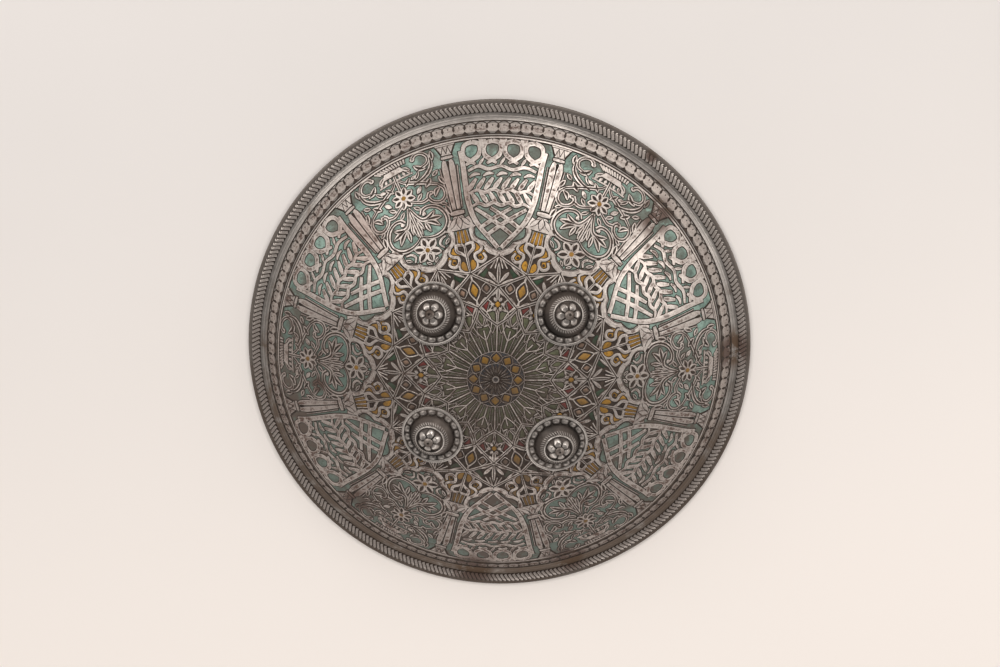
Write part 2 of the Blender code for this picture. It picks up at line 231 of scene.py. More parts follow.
def curve(*points, step=STEP):
    """A smooth line through points: a Catmull-Rom cubic between each two of them."""
    p = np.asarray(points, float)
    p = np.vstack([2 * p[0] - p[1], p, 2 * p[-1] - p[-2]])
    t = np.linspace(0.0, 1.0, 12, endpoint=False)[:, None]
    a, b, c, d = p[:-3, None], p[1:-2, None], p[2:-1, None], p[3:, None]
    inner = 0.5 * (2 * b + (c - a) * t + (2 * a - 5 * b + 4 * c - d) * t**2
                   + (3 * b - 3 * c + d - a) * t**3)
    return resampled(np.vstack([inner.reshape(-1, p.shape[1]), p[-2:-1]]), step)


def line(*points, step=STEP):
    """Straight runs between points."""
    return resampled(points, step)


def straight(a, b):
    """Points (angle, share) on a line that is straight seen from above, from one such to another."""
    plan = resampled(polar(np.array([a, b])))
    angle = np.degrees(np.arctan2(plan[:, 0], plan[:, 1]))
    return np.stack([angle, np.hypot(plan[:, 0], plan[:, 1]) / RIM_RADIUS], axis=1)


def mirrored(path):
    return path * np.array([-1.0, 1.0])


def longer(path, extra):
    """A path drawn out a little at both ends."""
    first = path[0] - path[1]
    last = path[-1] - path[-2]
    out = path.copy()
    out[0] += first / np.linalg.norm(first) * extra
    out[-1] += last / np.linalg.norm(last) * extra
    return out


# Solids

class Heap:
    """Closed solids gathered for one piece."""

    def __init__(self):
        self.points, self.faces, self.wear, self.count = [], [], [], 0

    def add(self, points, faces, axes=(0.0,), wear=0.0):
        self.wear.append(np.tile(np.broadcast_to(wear, len(points)), len(axes)))
        for axis in axes:
            self.points.append(turned(points, axis))
            self.faces.append([face + self.count for face in faces])
            self.count += len(points)

    def piece(self, name, material, slot, smooth=None):
        """One Blender object of all that was gathered, with its wear, riding on the shield."""
        points = np.concatenate(self.points) * MM
        mesh = bpy.data.meshes.new(name)
        flat, sizes_of = [], []
        for group in self.faces:
            for face in group:
                flat.append(face.reshape(-1))
                sizes_of.append(np.full(face.shape[0], face.shape[1], np.int32))
        loops = np.concatenate(flat).astype(np.int32)
        totals = np.concatenate(sizes_of)
        starts = np.concatenate([[0], np.cumsum(totals)[:-1]]).astype(np.int32)
        mesh.vertices.add(len(points))
        mesh.vertices.foreach_set("co", points.astype(np.float32).ravel())
        mesh.loops.add(len(loops))
        mesh.loops.foreach_set("vertex_index", loops)
        mesh.polygons.add(len(totals))
        mesh.polygons.foreach_set("loop_start", starts)
        mesh.polygons.foreach_set("loop_total", totals)
        mesh.update(calc_edges=True)
        layer = mesh.attributes.new("wear", "FLOAT", "POINT")
        layer.data.foreach_set("value", np.concatenate(self.wear).astype(np.float32))
        if smooth is not None:
            mesh.shade_smooth()
            mesh.set_sharp_from_angle(angle=math.radians(smooth))
        piece = bpy.data.objects.new(name, mesh)
        bpy.context.scene.collection.objects.link(piece)
        mesh.materials.append(material)
        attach(piece, BODY)
        return piece

    def bright(self, name, metal=None):
        return self.piece(name, metal or silver_metal(), "worked_steel", smooth=50)

    def dark(self, name):
        return self.piece(name, dark_cut(), "dark_cut")


def tube_faces(rows, columns, joined=False):
    """Quads over a grid of points whose columns close on themselves, and its rows too if joined."""
    last = rows if joined else rows - 1
    row, column = np.meshgrid(np.arange(last), np.arange(columns), indexing="ij")
    below, after = (row + 1) % rows, (column + 1) % columns
    return np.stack([row * columns + column, row * columns + after,
                     below * columns + after, below * columns + column], axis=-1).reshape(-1, 4)


def block(foot, top, inset=0.0):
    """A flat-topped cross-section."""
    return [(-1, 0, foot), (-1, inset, top), (1, inset, top), (1, 0, foot)]


def ridge(inset, edge, middle):
    """A cross-section that rises from its edges to its middle."""
    return [(-1, 0, -FOOT), (-1, inset, edge), (0, 0, middle), (1, inset, edge), (1, 0, -FOOT)]


def section_points(points, normals, right, half, section, lifted=0.0):
    """A cross-section set up at each of N points.

    half holds the N half-widths, and section K rows of (side, inset, height). A corner stands side
    times (half-width less inset) to the right, and height over the face. What stands over the face
    is lifted a little more.
    """
    side, inset, height = np.asarray(section, float).T
    reach = side * np.maximum(half[:, None] - inset, NARROWEST * half[:, None])
    rise = np.where(height > 0, height + lifted, height)
    return (points[:, None] + right[:, None] * reach[..., None]
            + normals[:, None] * rise[None, :, None]).reshape(-1, 3)


def swept(plan, half, section, lifted=0.0):
    """A cross-section carried along a line on the plate, closed at both ends."""
    points, normals = lift(plan)
    along = np.gradient(points, axis=0)
    along /= np.maximum(np.linalg.norm(along, axis=1, keepdims=True), 1e-9)
    right = np.cross(along, normals)
    right /= np.linalg.norm(right, axis=1, keepdims=True)
    rows, corners = len(plan), len(section)
    ring = np.arange(corners)
    start, end = ring[::-1][None], (ring + (rows - 1) * corners)[None]
    grid = section_points(points, normals, right, half, section, lifted)
    return grid, [tube_faces(rows, corners), start, end]


def ringed(radius, half, section, steps):
    """The same, round the whole shield at one radius, joined to itself."""
    angle = circle(steps)
    points, normals = lift(about(radius, angle))
    outward, along = spatial(about(1.0, angle), 0.0), spatial(about(1.0, angle + np.pi / 2), 0.0)
    right = np.cross(along, normals)
    right *= np.sign(np.sum(right * -outward, axis=1, keepdims=True))
    grid = section_points(points, normals, right, np.full(steps, half), section)
    return grid, [tube_faces(steps, len(section), joined=True)]


def rings(places, section, steps):
    """Rings round the shield, each at a radius and with a half-width."""
    heap = Heap()
    for radius, half in places:
        heap.add(*ringed(radius, half, section, steps))
    return heap


def patch(plan_grid, top):
    """A thin closed sheet over a grid of plan points, rows by columns.

    The top lies at a height over the face and the underside stands a foot's depth inside the
    plate. Four walls join them.
    """
    rows, columns = plan_grid.shape[:2]
    points, normals = lift(plan_grid)
    upper = (points + normals * top).reshape(-1, 3)
    lower = (points - normals * FOOT).reshape(-1, 3)
    i, j = np.meshgrid(np.arange(rows - 1), np.arange(columns - 1), indexing="ij")
    a = (i * columns + j).ravel()
    face = np.stack([a, a + 1, a + columns + 1, a + columns], axis=1)
    count = rows * columns
    edge = np.concatenate([
        np.arange(columns - 1),
        np.arange(rows - 1) * columns + columns - 1,
        (rows - 1) * columns + np.arange(columns - 1, 0, -1),
        np.arange(rows - 1, 0, -1) * columns,
    ])
    following = np.roll(edge, -1)
    wall = np.stack([edge, edge + count, following + count, following], axis=1)
    corner = upper.reshape(rows, columns, 3)
    facing = np.cross(corner[0, 1] - corner[0, 0] + corner[-1, 1] - corner[-1, 0],
                      corner[1, 0] - corner[0, 0] + corner[-1, 0] - corner[-2, 0])
    if facing[2] < 0:
        return np.vstack([upper, lower]), [face[:, ::-1], face + count, wall[:, ::-1]]
    return np.vstack([upper, lower]), [face, face[:, ::-1] + count, wall]


def strip(along, half, columns, middle=0.0):
    """A grid of points, as wide to both sides of the middle on each row as half says."""
    across = middle + half[:, None] * np.linspace(-1, 1, columns)
    return np.stack([across, np.broadcast_to(along[:, None], across.shape)], axis=-1)


def spindle(path, half, columns=4):
    """A grid of plan points about a line, as wide on each row as half says."""
    along = np.gradient(path, axis=0)
    along /= np.maximum(np.linalg.norm(along, axis=1, keepdims=True), 1e-9)
    side = np.stack([-along[:, 1], along[:, 0]], axis=1)
    share = np.linspace(-1.0, 1.0, columns)
    return path[:, None] + side[:, None] * (half[:, None] * share)[..., None]


def round_dot(x, depth, radius):
    """A line down through a round dot, and the dot's half-width at each of its points."""
    share = np.linspace(-0.98, 0.98, 7)
    return np.stack([np.full(7, x), depth + radius * share], axis=1), radius * np.sqrt(1 - share**2)


def spread(values, count):
    """A value for each of count points, from one value or from a few spread evenly along them."""
    values = np.atleast_1d(np.asarray(values, float))
    return np.interp(np.linspace(0.0, 1.0, count), np.linspace(0.0, 1.0, len(values)), values)


class Inlay:
    """Silver strokes with dark cuts beside them and fine dark lines on them, repeated at some axes.

    both says whether a stroke is laid together with its mirror image where the call doesn't say.
    """

    def __init__(self, axes, place=chart, height=None, crown=0.14, browned=1.0, bold=1.0, both=False):
        self.axes, self.place, self.both = axes, place, both
        self.bold, self.browned, self.crown = bold, browned, crown
        self.height = sizes().inlay_height / MM if height is None else height
        self.outline = sizes().outline_width / MM
        self.silver, self.cut, self.lines = Heap(), Heap(), Heap()
        self.order = 0

    def sides(self, path, both):
        return [path, mirrored(path)] if (self.both if both is None else both) else [path]

    def next_lift(self):
        self.order += 1
        return self.order % LIFTS * JITTER

    def stroke(self, path, half, core=0.0, both=None, outline=None):
        """Lay a stroke, with a mirrored one if both, and a dark line along it if core."""
        outline = self.outline if outline is None else outline
        for side in self.sides(path, both):
            plan, lifted = self.place(side), self.next_lift()
            widths = spread(half, len(side)) * self.bold
            silver = ridge(0.3, self.height, self.height + self.crown)
            self.silver.add(*swept(plan, widths, silver, lifted), self.axes,
                            np.tile([0.0, 0.0, self.browned, 0.0, 0.0], len(plan)))
            if outline > 0:
                cut = block(-FOOT, CUT_TOP, 0.1)
                self.cut.add(*swept(longer(plan, outline), widths + outline, cut, lifted), self.axes)
            if core > 0:
                self.mark(side, core * self.bold**2, both=False)

    def mark(self, path, half, both=None):
        """A fine dark line on top of the silver."""
        for side in self.sides(path, both):
            section = block(0.02, self.height + self.crown + 0.05, 0.05)
            widths, lifted = spread(half, len(side)), self.next_lift()
            self.lines.add(*swept(self.place(side), widths, section, lifted), self.axes)

    def leaf(self, start, end, half, core=0.0, bend=0.0, both=None):
        """A leaf from start to end, fullest in the middle, bent aside by a share of its length."""
        start, end = np.asarray(start, float), np.asarray(end, float)
        across = np.array([-(end - start)[1], (end - start)[0]])
        path = curve(start, (start + end) / 2 + across * bend, end, step=1.1)
        shape = np.sin(np.pi * np.linspace(0.04, 0.96, 7)) ** 0.8
        self.stroke(path, half * shape, both=both)
        if core > 0:
            self.mark(path[1:-1] if len(path) > 4 else path, core * shape, both)

    def dot(self, x, depth, radius, eye=0.0, both=None):
        """A small round boss of silver, with a dark eye if one is given."""
        self.stroke(*round_dot(x, depth, radius), both=both)
        if eye > 0:
            self.mark(*round_dot(x, depth, eye), both)

    def pieces(self, name, metal=None):
        """Make the silver, its dark cuts and its fine lines as three objects."""
        self.silver.bright(name, metal)
        if self.cut.count:
            self.cut.dark(name + "_cuts")
        if self.lines.count:
            self.lines.dark(name + "_lines")


class StarInlay(Inlay):
    """The same over all twelve axes, drawn with points (angle in degrees, share of the rim)."""

    def __init__(self, bold=1.0):
        super().__init__(ALL_AXES, place=polar, height=0.4, bold=bold)

    def leaf(self, start, end, half, core=0.0, bend=0.0, both=False):
        """A leaf between two (angle, share) points, fullest in the middle."""
        path = straight(start, end)
        lean = np.sin(np.pi * np.linspace(0.0, 1.0, len(path))) * bend
        path += lean[:, None] * np.abs(np.subtract(end, start))
        shape = np.sin(np.pi * np.linspace(0.06, 0.94, 7)) ** 0.8
        self.stroke(path, half * shape, both=both)
        if core > 0:
            self.mark(path, core * shape, both)

    def frame(self, axis, middle, length, width, half):
        """A pointed oval outline about (angle, share), its sizes in millimetres."""
        t = np.linspace(-1.0, 1.0, 13)
        radius = middle * RIM_RADIUS + t * length / 2
        across = np.degrees(width / 2 * (1 - np.abs(t) ** 1.6) / radius)
        for side in (-1, 1):
            self.stroke(np.stack([axis + side * across, radius / RIM_RADIUS], axis=1), half)


# Finishes

class Nodes:
    """A node tree under construction."""

    def __init__(self, tree):
        self.tree = tree

    def give(self, socket, value):
        """Link a socket to another node's output, or set its constant."""
        if isinstance(value, bpy.types.NodeSocket):
            self.tree.links.new(value, socket)
        elif socket.type == "RGBA":
            socket.default_value = (*value, 1.0)
        else:
            socket.default_value = value

    def node(self, kind, output, inputs, **settings):
        """Add a node with its settings and inputs, and hand out one of its outputs."""
        made = self.tree.nodes.new(kind)
        for key, value in settings.items():
            setattr(made, key, value)
        for key, value in inputs.items():
            self.give(made.inputs[key], value)
        return made.outputs[output]

    def ramp(self, value, low, high, a=0.0, b=1.0):
        return self.node(
            "ShaderNodeMapRange", "Result", interpolation_type="SMOOTHSTEP",
            inputs={"Value": value, "From Min": low, "From Max": high, "To Min": a, "To Max": b})


class Finish(Nodes):
    """A node material under construction, on Object coordinates."""

    def __init__(self, name):
        self.material = bpy.data.materials.new(name)
        self.material.use_nodes = True
        super().__init__(self.material.node_tree)
        self.place = self.node("ShaderNodeTexCoord", "Object", {})

    def noise(self, scale, detail=4.0, roughness=0.55, distortion=0.0):
        return self.node("ShaderNodeTexNoise", "Fac", {
            "Vector": self.place, "Scale": scale, "Detail": detail, "Roughness": roughness,
            "Distortion": distortion})

    def math(self, operation, a, b):
        return self.node("ShaderNodeMath", "Value", {0: a, 1: b}, operation=operation)

    def plus(self, a, b):
        return self.math("ADD", a, b)

    def times(self, a, b):
        return self.math("MULTIPLY", a, b)

    def most(self, a, b):
        return self.math("MAXIMUM", a, b)

    def mix(self, factor, a, b):
        return self.node("ShaderNodeMix", 2, {0: factor, 6: a, 7: b}, data_type="RGBA")

    def vector(self, operation, output, a, b):
        return self.node("ShaderNodeVectorMath", output, {0: a, 1: b}, operation=operation)

    def radius(self, x=0.0, y=0.0):
        """Distance seen from above from a place, which is the shield's axis if none is given."""
        flat = self.vector("MULTIPLY", "Vector", self.place, (1.0, 1.0, 0.0))
        return self.vector("DISTANCE", "Value", flat, (x, y, 0.0))

    def along(self, x, y):
        """How far a point lies in a direction seen from above."""
        return self.vector("DOT_PRODUCT", "Value", self.place, (x, y, 0.0))

    def wear(self):
        """What the mesh says of how browned, or how rubbed, it is."""
        return self.node("ShaderNodeAttribute", "Fac", {}, attribute_name="wear")

    def rings(self, scale):
        """Fine uneven rings about the shield's axis."""
        return self.node("ShaderNodeTexNoise", "Fac", {"W": self.radius(), "Scale": scale},
                         noise_dimensions="1D")

    def near(self, angle, share, reach):
        """One at a place on the face, given as an angle and a share of the rim, falling to nought."""
        turn, radius = math.radians(angle), share * RIM_RADIUS * MM
        away = self.radius(radius * math.sin(turn), radius * math.cos(turn))
        return self.ramp(away, 0.35 * reach * MM, reach * MM, 1.0, 0.0)

    def about_places(self, total, places):
        """A value, raised to near() of each place where that is more."""
        for place in places:
            total = self.most(self.near(*place), total)
        return total

    def stains(self):
        """Brown stains at a few places on the ornament and along the groove."""
        patchy = self.ramp(self.noise(90.0, 5.0, 0.7, 0.4), 0.33, 0.48)
        return self.times(self.about_places(0.0, STAINS), patchy)

    def shadow_side(self, most):
        """Grime that gathers towards the shield's lower half."""
        return self.ramp(self.along(-0.1, -0.99), -0.10, 0.15, 0.0, most)

    def clean(self, most):
        """How far the face is rubbed clean: at its upper right, and above the middle."""
        return self.times(self.most(self.near(30.0, 0.72, 115.0), self.near(0.0, 0.36, 60.0)), most)

    def painted_shade(self, most):
        """How far the face is dulled: in its lower half, and about a few places."""
        return self.times(self.about_places(self.shadow_side(0.7), SHADED_PLACES), most)

    def made(self, colour, roughness, bump=None, metallic=0.0, specular=0.5):
        """The material with its colour, its metal and a fine unevenness on its shader.

        bump is a value with its strength and its distance in metres.
        """
        inputs = self.tree.nodes["Principled BSDF"].inputs
        self.give(inputs["Base Color"], colour)
        self.give(inputs["Roughness"], roughness)
        self.give(inputs["Metallic"], metallic)
        self.give(inputs["Specular IOR Level"], specular)
        if bump:
            self.give(inputs["Normal"], self.node(
                "ShaderNodeBump", "Normal", dict(zip(("Height", "Strength", "Distance"), bump))))
        return self.material


def shade(colour, factor, pale=0.0):
    """A colour made darker or lighter, and paler."""
    return tuple(channel * factor + pale for channel in colour)


def once(make):
    """Make a finish the first time it is asked for, and hand out the same one after that."""
    made = {}

    def get(*arguments):
        if arguments not in made:
            made[arguments] = make(*arguments)
        return made[arguments]

    get.__doc__ = make.__doc__
    return get


@once
def silver_metal(name="silver_inlay", share=1.0):
    """Worn silver: pale at its edges, browned along the middle of the strokes, spotted and veiled.

    It is rubbed brighter where the face is clean, greyed where it is dulled, and tarnished about
    two places at the upper left.
    """
    silver = shade(colours().silver, share)
    f = Finish(name)
    broad = f.noise(24.0, 5.0, 0.62, 0.5)
    spots = f.noise(190.0, 5.0, 0.72, 0.6)
    grain = f.noise(800.0, 3.0, 0.6)
    middle = f.ramp(f.wear(), 0.05, 0.7, 0.25, 1.0)
    # The veil is broad tarnish plus painted shade over the lower half.
    veil_and_shade = f.plus(f.ramp(broad, 0.42, 0.62, 0.0, 0.7), f.shadow_side(0.55))
    wear_and_painted_light = f.times(f.plus(veil_and_shade, 0.38), f.ramp(spots, 0.44, 0.6, 0.15, 1.0))
    worn_and_shaded = f.most(f.times(wear_and_painted_light, middle), f.times(f.stains(), 0.95))
    base = f.mix(f.ramp(grain, 0.3, 0.72), silver, shade(silver, 0.68))
    # Painted highlight: lighter silver at the upper right and above the middle.
    base = f.mix(f.clean(0.6), base, shade(silver, 1.5))
    # Painted shade: darker silver in the lower half, at the left and in the middle.
    base = f.mix(f.painted_shade(0.34), base, (0.14, 0.10, 0.085))
    tarnish = f.most(f.near(344.0, 0.68, 36.0), f.near(311.5, 0.72, 34.0))
    base = f.mix(f.times(tarnish, 0.62), base, (0.17, 0.115, 0.095))
    return f.made(f.mix(worn_and_shaded, base, (0.105, 0.066, 0.052)), f.ramp(worn_and_shaded, 0.0, 0.8, 0.33, 0.62),
                  (f.plus(spots, grain), 0.4, 0.0002), metallic=0.6)


@once
def plate_steel():
    """Plain steel: streaked in rings in the groove, dark on the lip, brown with rust in places."""
    steel = tuple(colours().steel)
    f = Finish("plate_steel")
    broad = f.noise(34.0, 6.0, 0.65, 0.5)
    fine = f.noise(220.0, 4.0, 0.6)
    lip = f.ramp(f.radius(), 0.2300, 0.2322)
    streaks = f.ramp(f.plus(f.rings(900.0), f.times(broad, 0.5)), 0.62, 0.9)
    # Rusty patches, plus painted shade over the lower half.
    rust_and_shade = f.most(f.ramp(f.plus(broad, f.shadow_side(0.3)), 0.55, 0.78, 0.0, 0.75), f.stains())
    base = f.mix(streaks, shade(steel, 1.15), shade(steel, 0.5))
    base = f.mix(f.ramp(fine, 0.4, 0.7, 0.0, 0.5), base, shade(steel, 0.6))
    browned = f.mix(rust_and_shade, base, (0.12, 0.078, 0.052))
    return f.made(f.mix(f.times(lip, 0.7), browned, (0.095, 0.075, 0.062)),
                  f.ramp(f.plus(rust_and_shade, lip), 0.0, 1.0, 0.34, 0.62),
                  (f.plus(fine, streaks), 0.3, 0.0003), metallic=0.8)


@once
def dark_cut():
    """Oxide and dirt in the engraved cuts."""
    cut = tuple(colours().cut)
    f = Finish("dark_cut")
    fine = f.noise(240.0, 4.0, 0.6)
    return f.made(f.mix(f.ramp(fine, 0.3, 0.7), shade(cut, 0.6), shade(cut, 1.5)), 0.7,
                  (fine, 0.3, 0.0002), specular=0.25)


@once
def ground(name, grime=0.5, pale=0.0):
    """A coloured ground: matt paste, clouded, pitted and dirty, most of all low on the shield."""
    paste = tuple(getattr(colours(), name))
    f = Finish(name + "_ground")
    cloud = f.noise(60.0, 5.0, 0.65, 0.4)
    fine = f.noise(420.0, 4.0, 0.65)
    dirt = f.noise(26.0, 6.0, 0.7, 0.3)
    base = f.mix(f.ramp(cloud, 0.36, 0.64), shade(paste, 0.62), shade(paste, 1.2, pale))
    # Painted highlight: lighter paste at the upper right and above the middle.
    base = f.mix(f.clean(0.4), base, shade(paste, 1.3, pale))
    # Painted shade: darker paste in the lower half, at the left and in the middle.
    base = f.mix(f.painted_shade(0.85), base, shade(paste, 0.42))
    pitted = f.mix(f.ramp(fine, 0.52, 0.66, 0.0, 0.75), base, shade(paste, 0.3))
    # Random dirt, plus painted shade over the lower half.
    dirt_and_shade = f.plus(f.ramp(dirt, 0.44, 0.6, 0.0, grime), f.shadow_side(0.38))
    dirt_and_shade = f.most(dirt_and_shade, f.times(f.stains(), 0.8))
    return f.made(f.mix(dirt_and_shade, pitted, (0.075, 0.054, 0.042)), 0.55,
                  (f.plus(fine, cloud), 0.35, 0.0002), specular=0.3)


@once
def boss_metal():
    """Cast iron bosses: dark in the hollows, rubbed bright on what stands up."""
    f = Finish("boss_iron")
    fine = f.noise(200.0, 4.0, 0.65)
    broad = f.noise(30.0, 4.0, 0.6)
    # Brightness from the mesh, part wear and part painted highlight, lightens the iron.
    wear_and_painted_light = f.times(f.wear(), f.ramp(fine, 0.25, 0.6, 0.55, 1.0))
    dark = f.mix(f.ramp(broad, 0.35, 0.65), (0.022, 0.017, 0.014), (0.07, 0.054, 0.045))
    return f.made(f.mix(wear_and_painted_light, dark, (0.56, 0.51, 0.47)), f.ramp(wear_and_painted_light, 0.0, 0.8, 0.42, 0.24),
                  (f.plus(fine, broad), 0.3, 0.0003), metallic=0.7)


@once
def bolt_metal():
    """Old iron, brown in its hollows."""
    f = Finish("bolt_iron")
    fine = f.noise(260.0, 4.0, 0.65)
    broad = f.noise(60.0, 3.0, 0.6)
    iron = f.mix(f.ramp(broad, 0.35, 0.65), (0.21, 0.18, 0.16), (0.07, 0.052, 0.042))
    return f.made(iron, f.ramp(fine, 0.3, 0.7, 0.35, 0.6), (fine, 0.35, 0.0002), metallic=0.8)


# Pieces

def plate_profile():
    """The plate's outline as (radius, height), from the apex down the face and back inside.

    The face is the height function above. The lip is rounded by a half circle on its edge. The
    inside is a sphere one sheet smaller, then straight runs under the bands.
    """
    dome = np.linspace(0.0, DOME_EDGE, 44)[1:]
    bands = np.concatenate([
        np.linspace(DOME_EDGE, GROOVE_EDGE, 6)[1:],
        np.linspace(GROOVE_EDGE, ROPE_EDGE, 7)[1:],
        [ROPE_EDGE + 0.6, LIP_EDGE - 0.6, LIP_EDGE],
    ])
    face_radius = np.concatenate([dome, bands])
    turn = np.linspace(0.0, np.pi, 9)
    nose = LIP_HEIGHT / 2
    lip_radius = RIM_RADIUS - nose + nose * np.sin(turn)
    lip_height = nose + nose * np.cos(turn)
    seat_edge = RIM_RADIUS - 0.9 - 3.3
    inner_edge = DOME_EDGE - SHEET
    inner = np.linspace(inner_edge, 0.0, 34)[:-1]
    inner_height = SPHERE_Z + np.sqrt((SPHERE - SHEET) ** 2 - inner**2)
    radius = np.concatenate([face_radius, lip_radius, [seat_edge, seat_edge, ROPE_EDGE,
                                                       GROOVE_EDGE - SHEET / 2], inner])
    under = GROOVE_HEIGHT - SHEET
    height = np.concatenate([face_height(face_radius), lip_height,
                             [0.0, under, under, SCALLOP_FOOT - SHEET], inner_height])
    apexes = (SPHERE_Z + SPHERE, SPHERE_Z + SPHERE - SHEET)
    return radius, height, apexes


def lathe(radius, height, apexes, steps):
    """Turn a profile about the axis, with a point at each end of it."""
    rows = len(radius)
    points = spatial(about(radius[:, None], circle(steps)), height[:, None]).reshape(-1, 3)
    ends = np.array([[0.0, 0.0, apexes[0]], [0.0, 0.0, apexes[1]]])
    first, low = rows * steps, (rows - 1) * steps
    ring = np.arange(steps)
    after = (ring + 1) % steps
    top = np.stack([np.full(steps, first), after, ring], axis=1)
    bottom = np.stack([np.full(steps, first + 1), ring + low, after + low], axis=1)
    return np.vstack([points, ends]), [tube_faces(rows, steps), top, bottom]


class SHIELD_OT_plate(bpy.types.Operator):
    """Build the raised plate, smooth outside and inside"""

    bl_idname = "shield.plate"
    bl_label = "Plate"

    def execute(self, context):
        heap = Heap()
        heap.add(*lathe(*plate_profile(), steps=480))
        plate = heap.piece("plate", plate_steel(), "worked_steel", smooth=35)
        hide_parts("shield_plate")
        return {"FINISHED"}


class SHIELD_OT_rim(bpy.types.Operator):
    """Cut the rope band, the scalloped band and the border lines"""

    bl_idname = "shield.rim"
    bl_label = "Rim bands"

    def execute(self, context):
        self.rope()
        self.scallops()
        self.border()
        return {"FINISHED"}

    def rope(self):
        """Oblique rounded bars, each a slight S from the inner edge to the outer one."""
        count = sizes().rope_strokes
        middle = (ROPE_EDGE + LIP_EDGE) / 2
        axes = tuple(360.0 * k / count for k in range(count))
        ropes = Inlay(axes, place=polar, height=0.3, crown=0.16, browned=0.1)
        low, high = (ROPE_EDGE + 0.6) / RIM_RADIUS, (LIP_EDGE - 0.5) / RIM_RADIUS
        share = np.linspace(0.0, 1.0, 6)
        angle = -0.9 * (share - 0.12 * np.sin(2 * np.pi * share) / np.pi)
        bar = np.stack([angle, low + (high - low) * share], axis=1)
        pitch = 2 * math.pi * middle / count
        ropes.stroke(bar, 0.84 * pitch / 2 - 0.24, outline=0)
        ropes.silver.bright("rope_band")
        places = ((ROPE_EDGE + 0.25, 0.3), (middle, 3.2), (LIP_EDGE - 0.15, 0.3))
        rings(places, block(-0.2, 0.08), 480).dark("rope_bed")

    def scallops(self):
        """A bright sloping band cut into lobes: a notch, an arched line, an eye and a tooth each."""
        count, foot, steps = sizes().scallops, DOME_EDGE, 960
        band = Heap()
        band.add(*ringed(foot + 5.75, 5.15, ridge(0.3, 0.3, 0.42), steps),
                 wear=np.tile([0, 0, 1, 0, 0], steps))
        band.bright("scallops")
        work = Inlay(tuple(360.0 * k / count for k in range(count)), height=0.3,
                     place=lambda path: polar(path * (1.0, 1.0 / RIM_RADIUS)))
        half = 180.0 / count
        work.mark(curve((-half * 0.98, foot + 7.6), (-half * 0.7, foot + 9.5), (0.0, foot + 10.5),
                        (half * 0.7, foot + 9.5), (half * 0.98, foot + 7.6), step=0.35), 0.3)
        for angle, low, high, step, widths in (
                (half, 4.6, 9.0, 0.8, (0.3, 1.25, 0.95, 0.3)), (0.0, 6.6, 7.9, 0.4, (0.3, 0.6, 0.3)),
                (half, 0.4, 3.6, 0.8, (3.5, 2.7, 1.4, 0.3))):
            work.mark(line((angle, foot + low), (angle, foot + high), step=step), widths)
        places = ((foot + 0.75, 0.5), (GROOVE_EDGE - 0.5, 0.35))
        rings(places, block(-0.2, 0.42), 480).dark("scallop_edges")
        work.lines.dark("scallop_lines")

    def border(self):
        """A dark ring with a bright line in it, round the ornament."""
        radius = DOME_EDGE - 2.3
        rings(((radius, 2.1),), block(-FOOT, 0.14), 480).dark("border_bed")
        rings(((radius, 0.85),), ridge(0.2, 0.4, 0.5), 480).bright("border_line")


def panel_half(depth):
    """Half the width of a panel's coloured ground at a depth: the bay, then the arch's inside."""
    radius = SPHERE * np.sin((DOME_ARC - depth) / SPHERE)
    bay = radius * math.radians(BAY / 2)
    arch = np.interp(depth, [84, 90, 95.2, 99.4, 102, 106.5, 110],
                     [60, 24.8, 23.0, 18.2, 13.0, 8.0, 0.6])
    return np.minimum(bay, arch)


def wedge(axis, low, high, half, rows=3, columns=3):
    """Plan points of a cell between two radii, as shares of the rim, and two half-angles."""
    return polar(strip(np.linspace(low, high, rows), np.linspace(*half, rows), columns, axis))


def lozenge(axis, middle, length, width, rows=7, columns=3):
    """Plan points of a pointed oval about (angle, share), its sizes in millimetres."""
    share = np.linspace(-0.97, 0.97, rows)
    radius = middle * RIM_RADIUS + share * length / 2
    half = np.degrees(width / 2 * (1 - np.abs(share) ** 1.3) / radius)
    return polar(strip(radius / RIM_RADIUS, half, columns, axis))


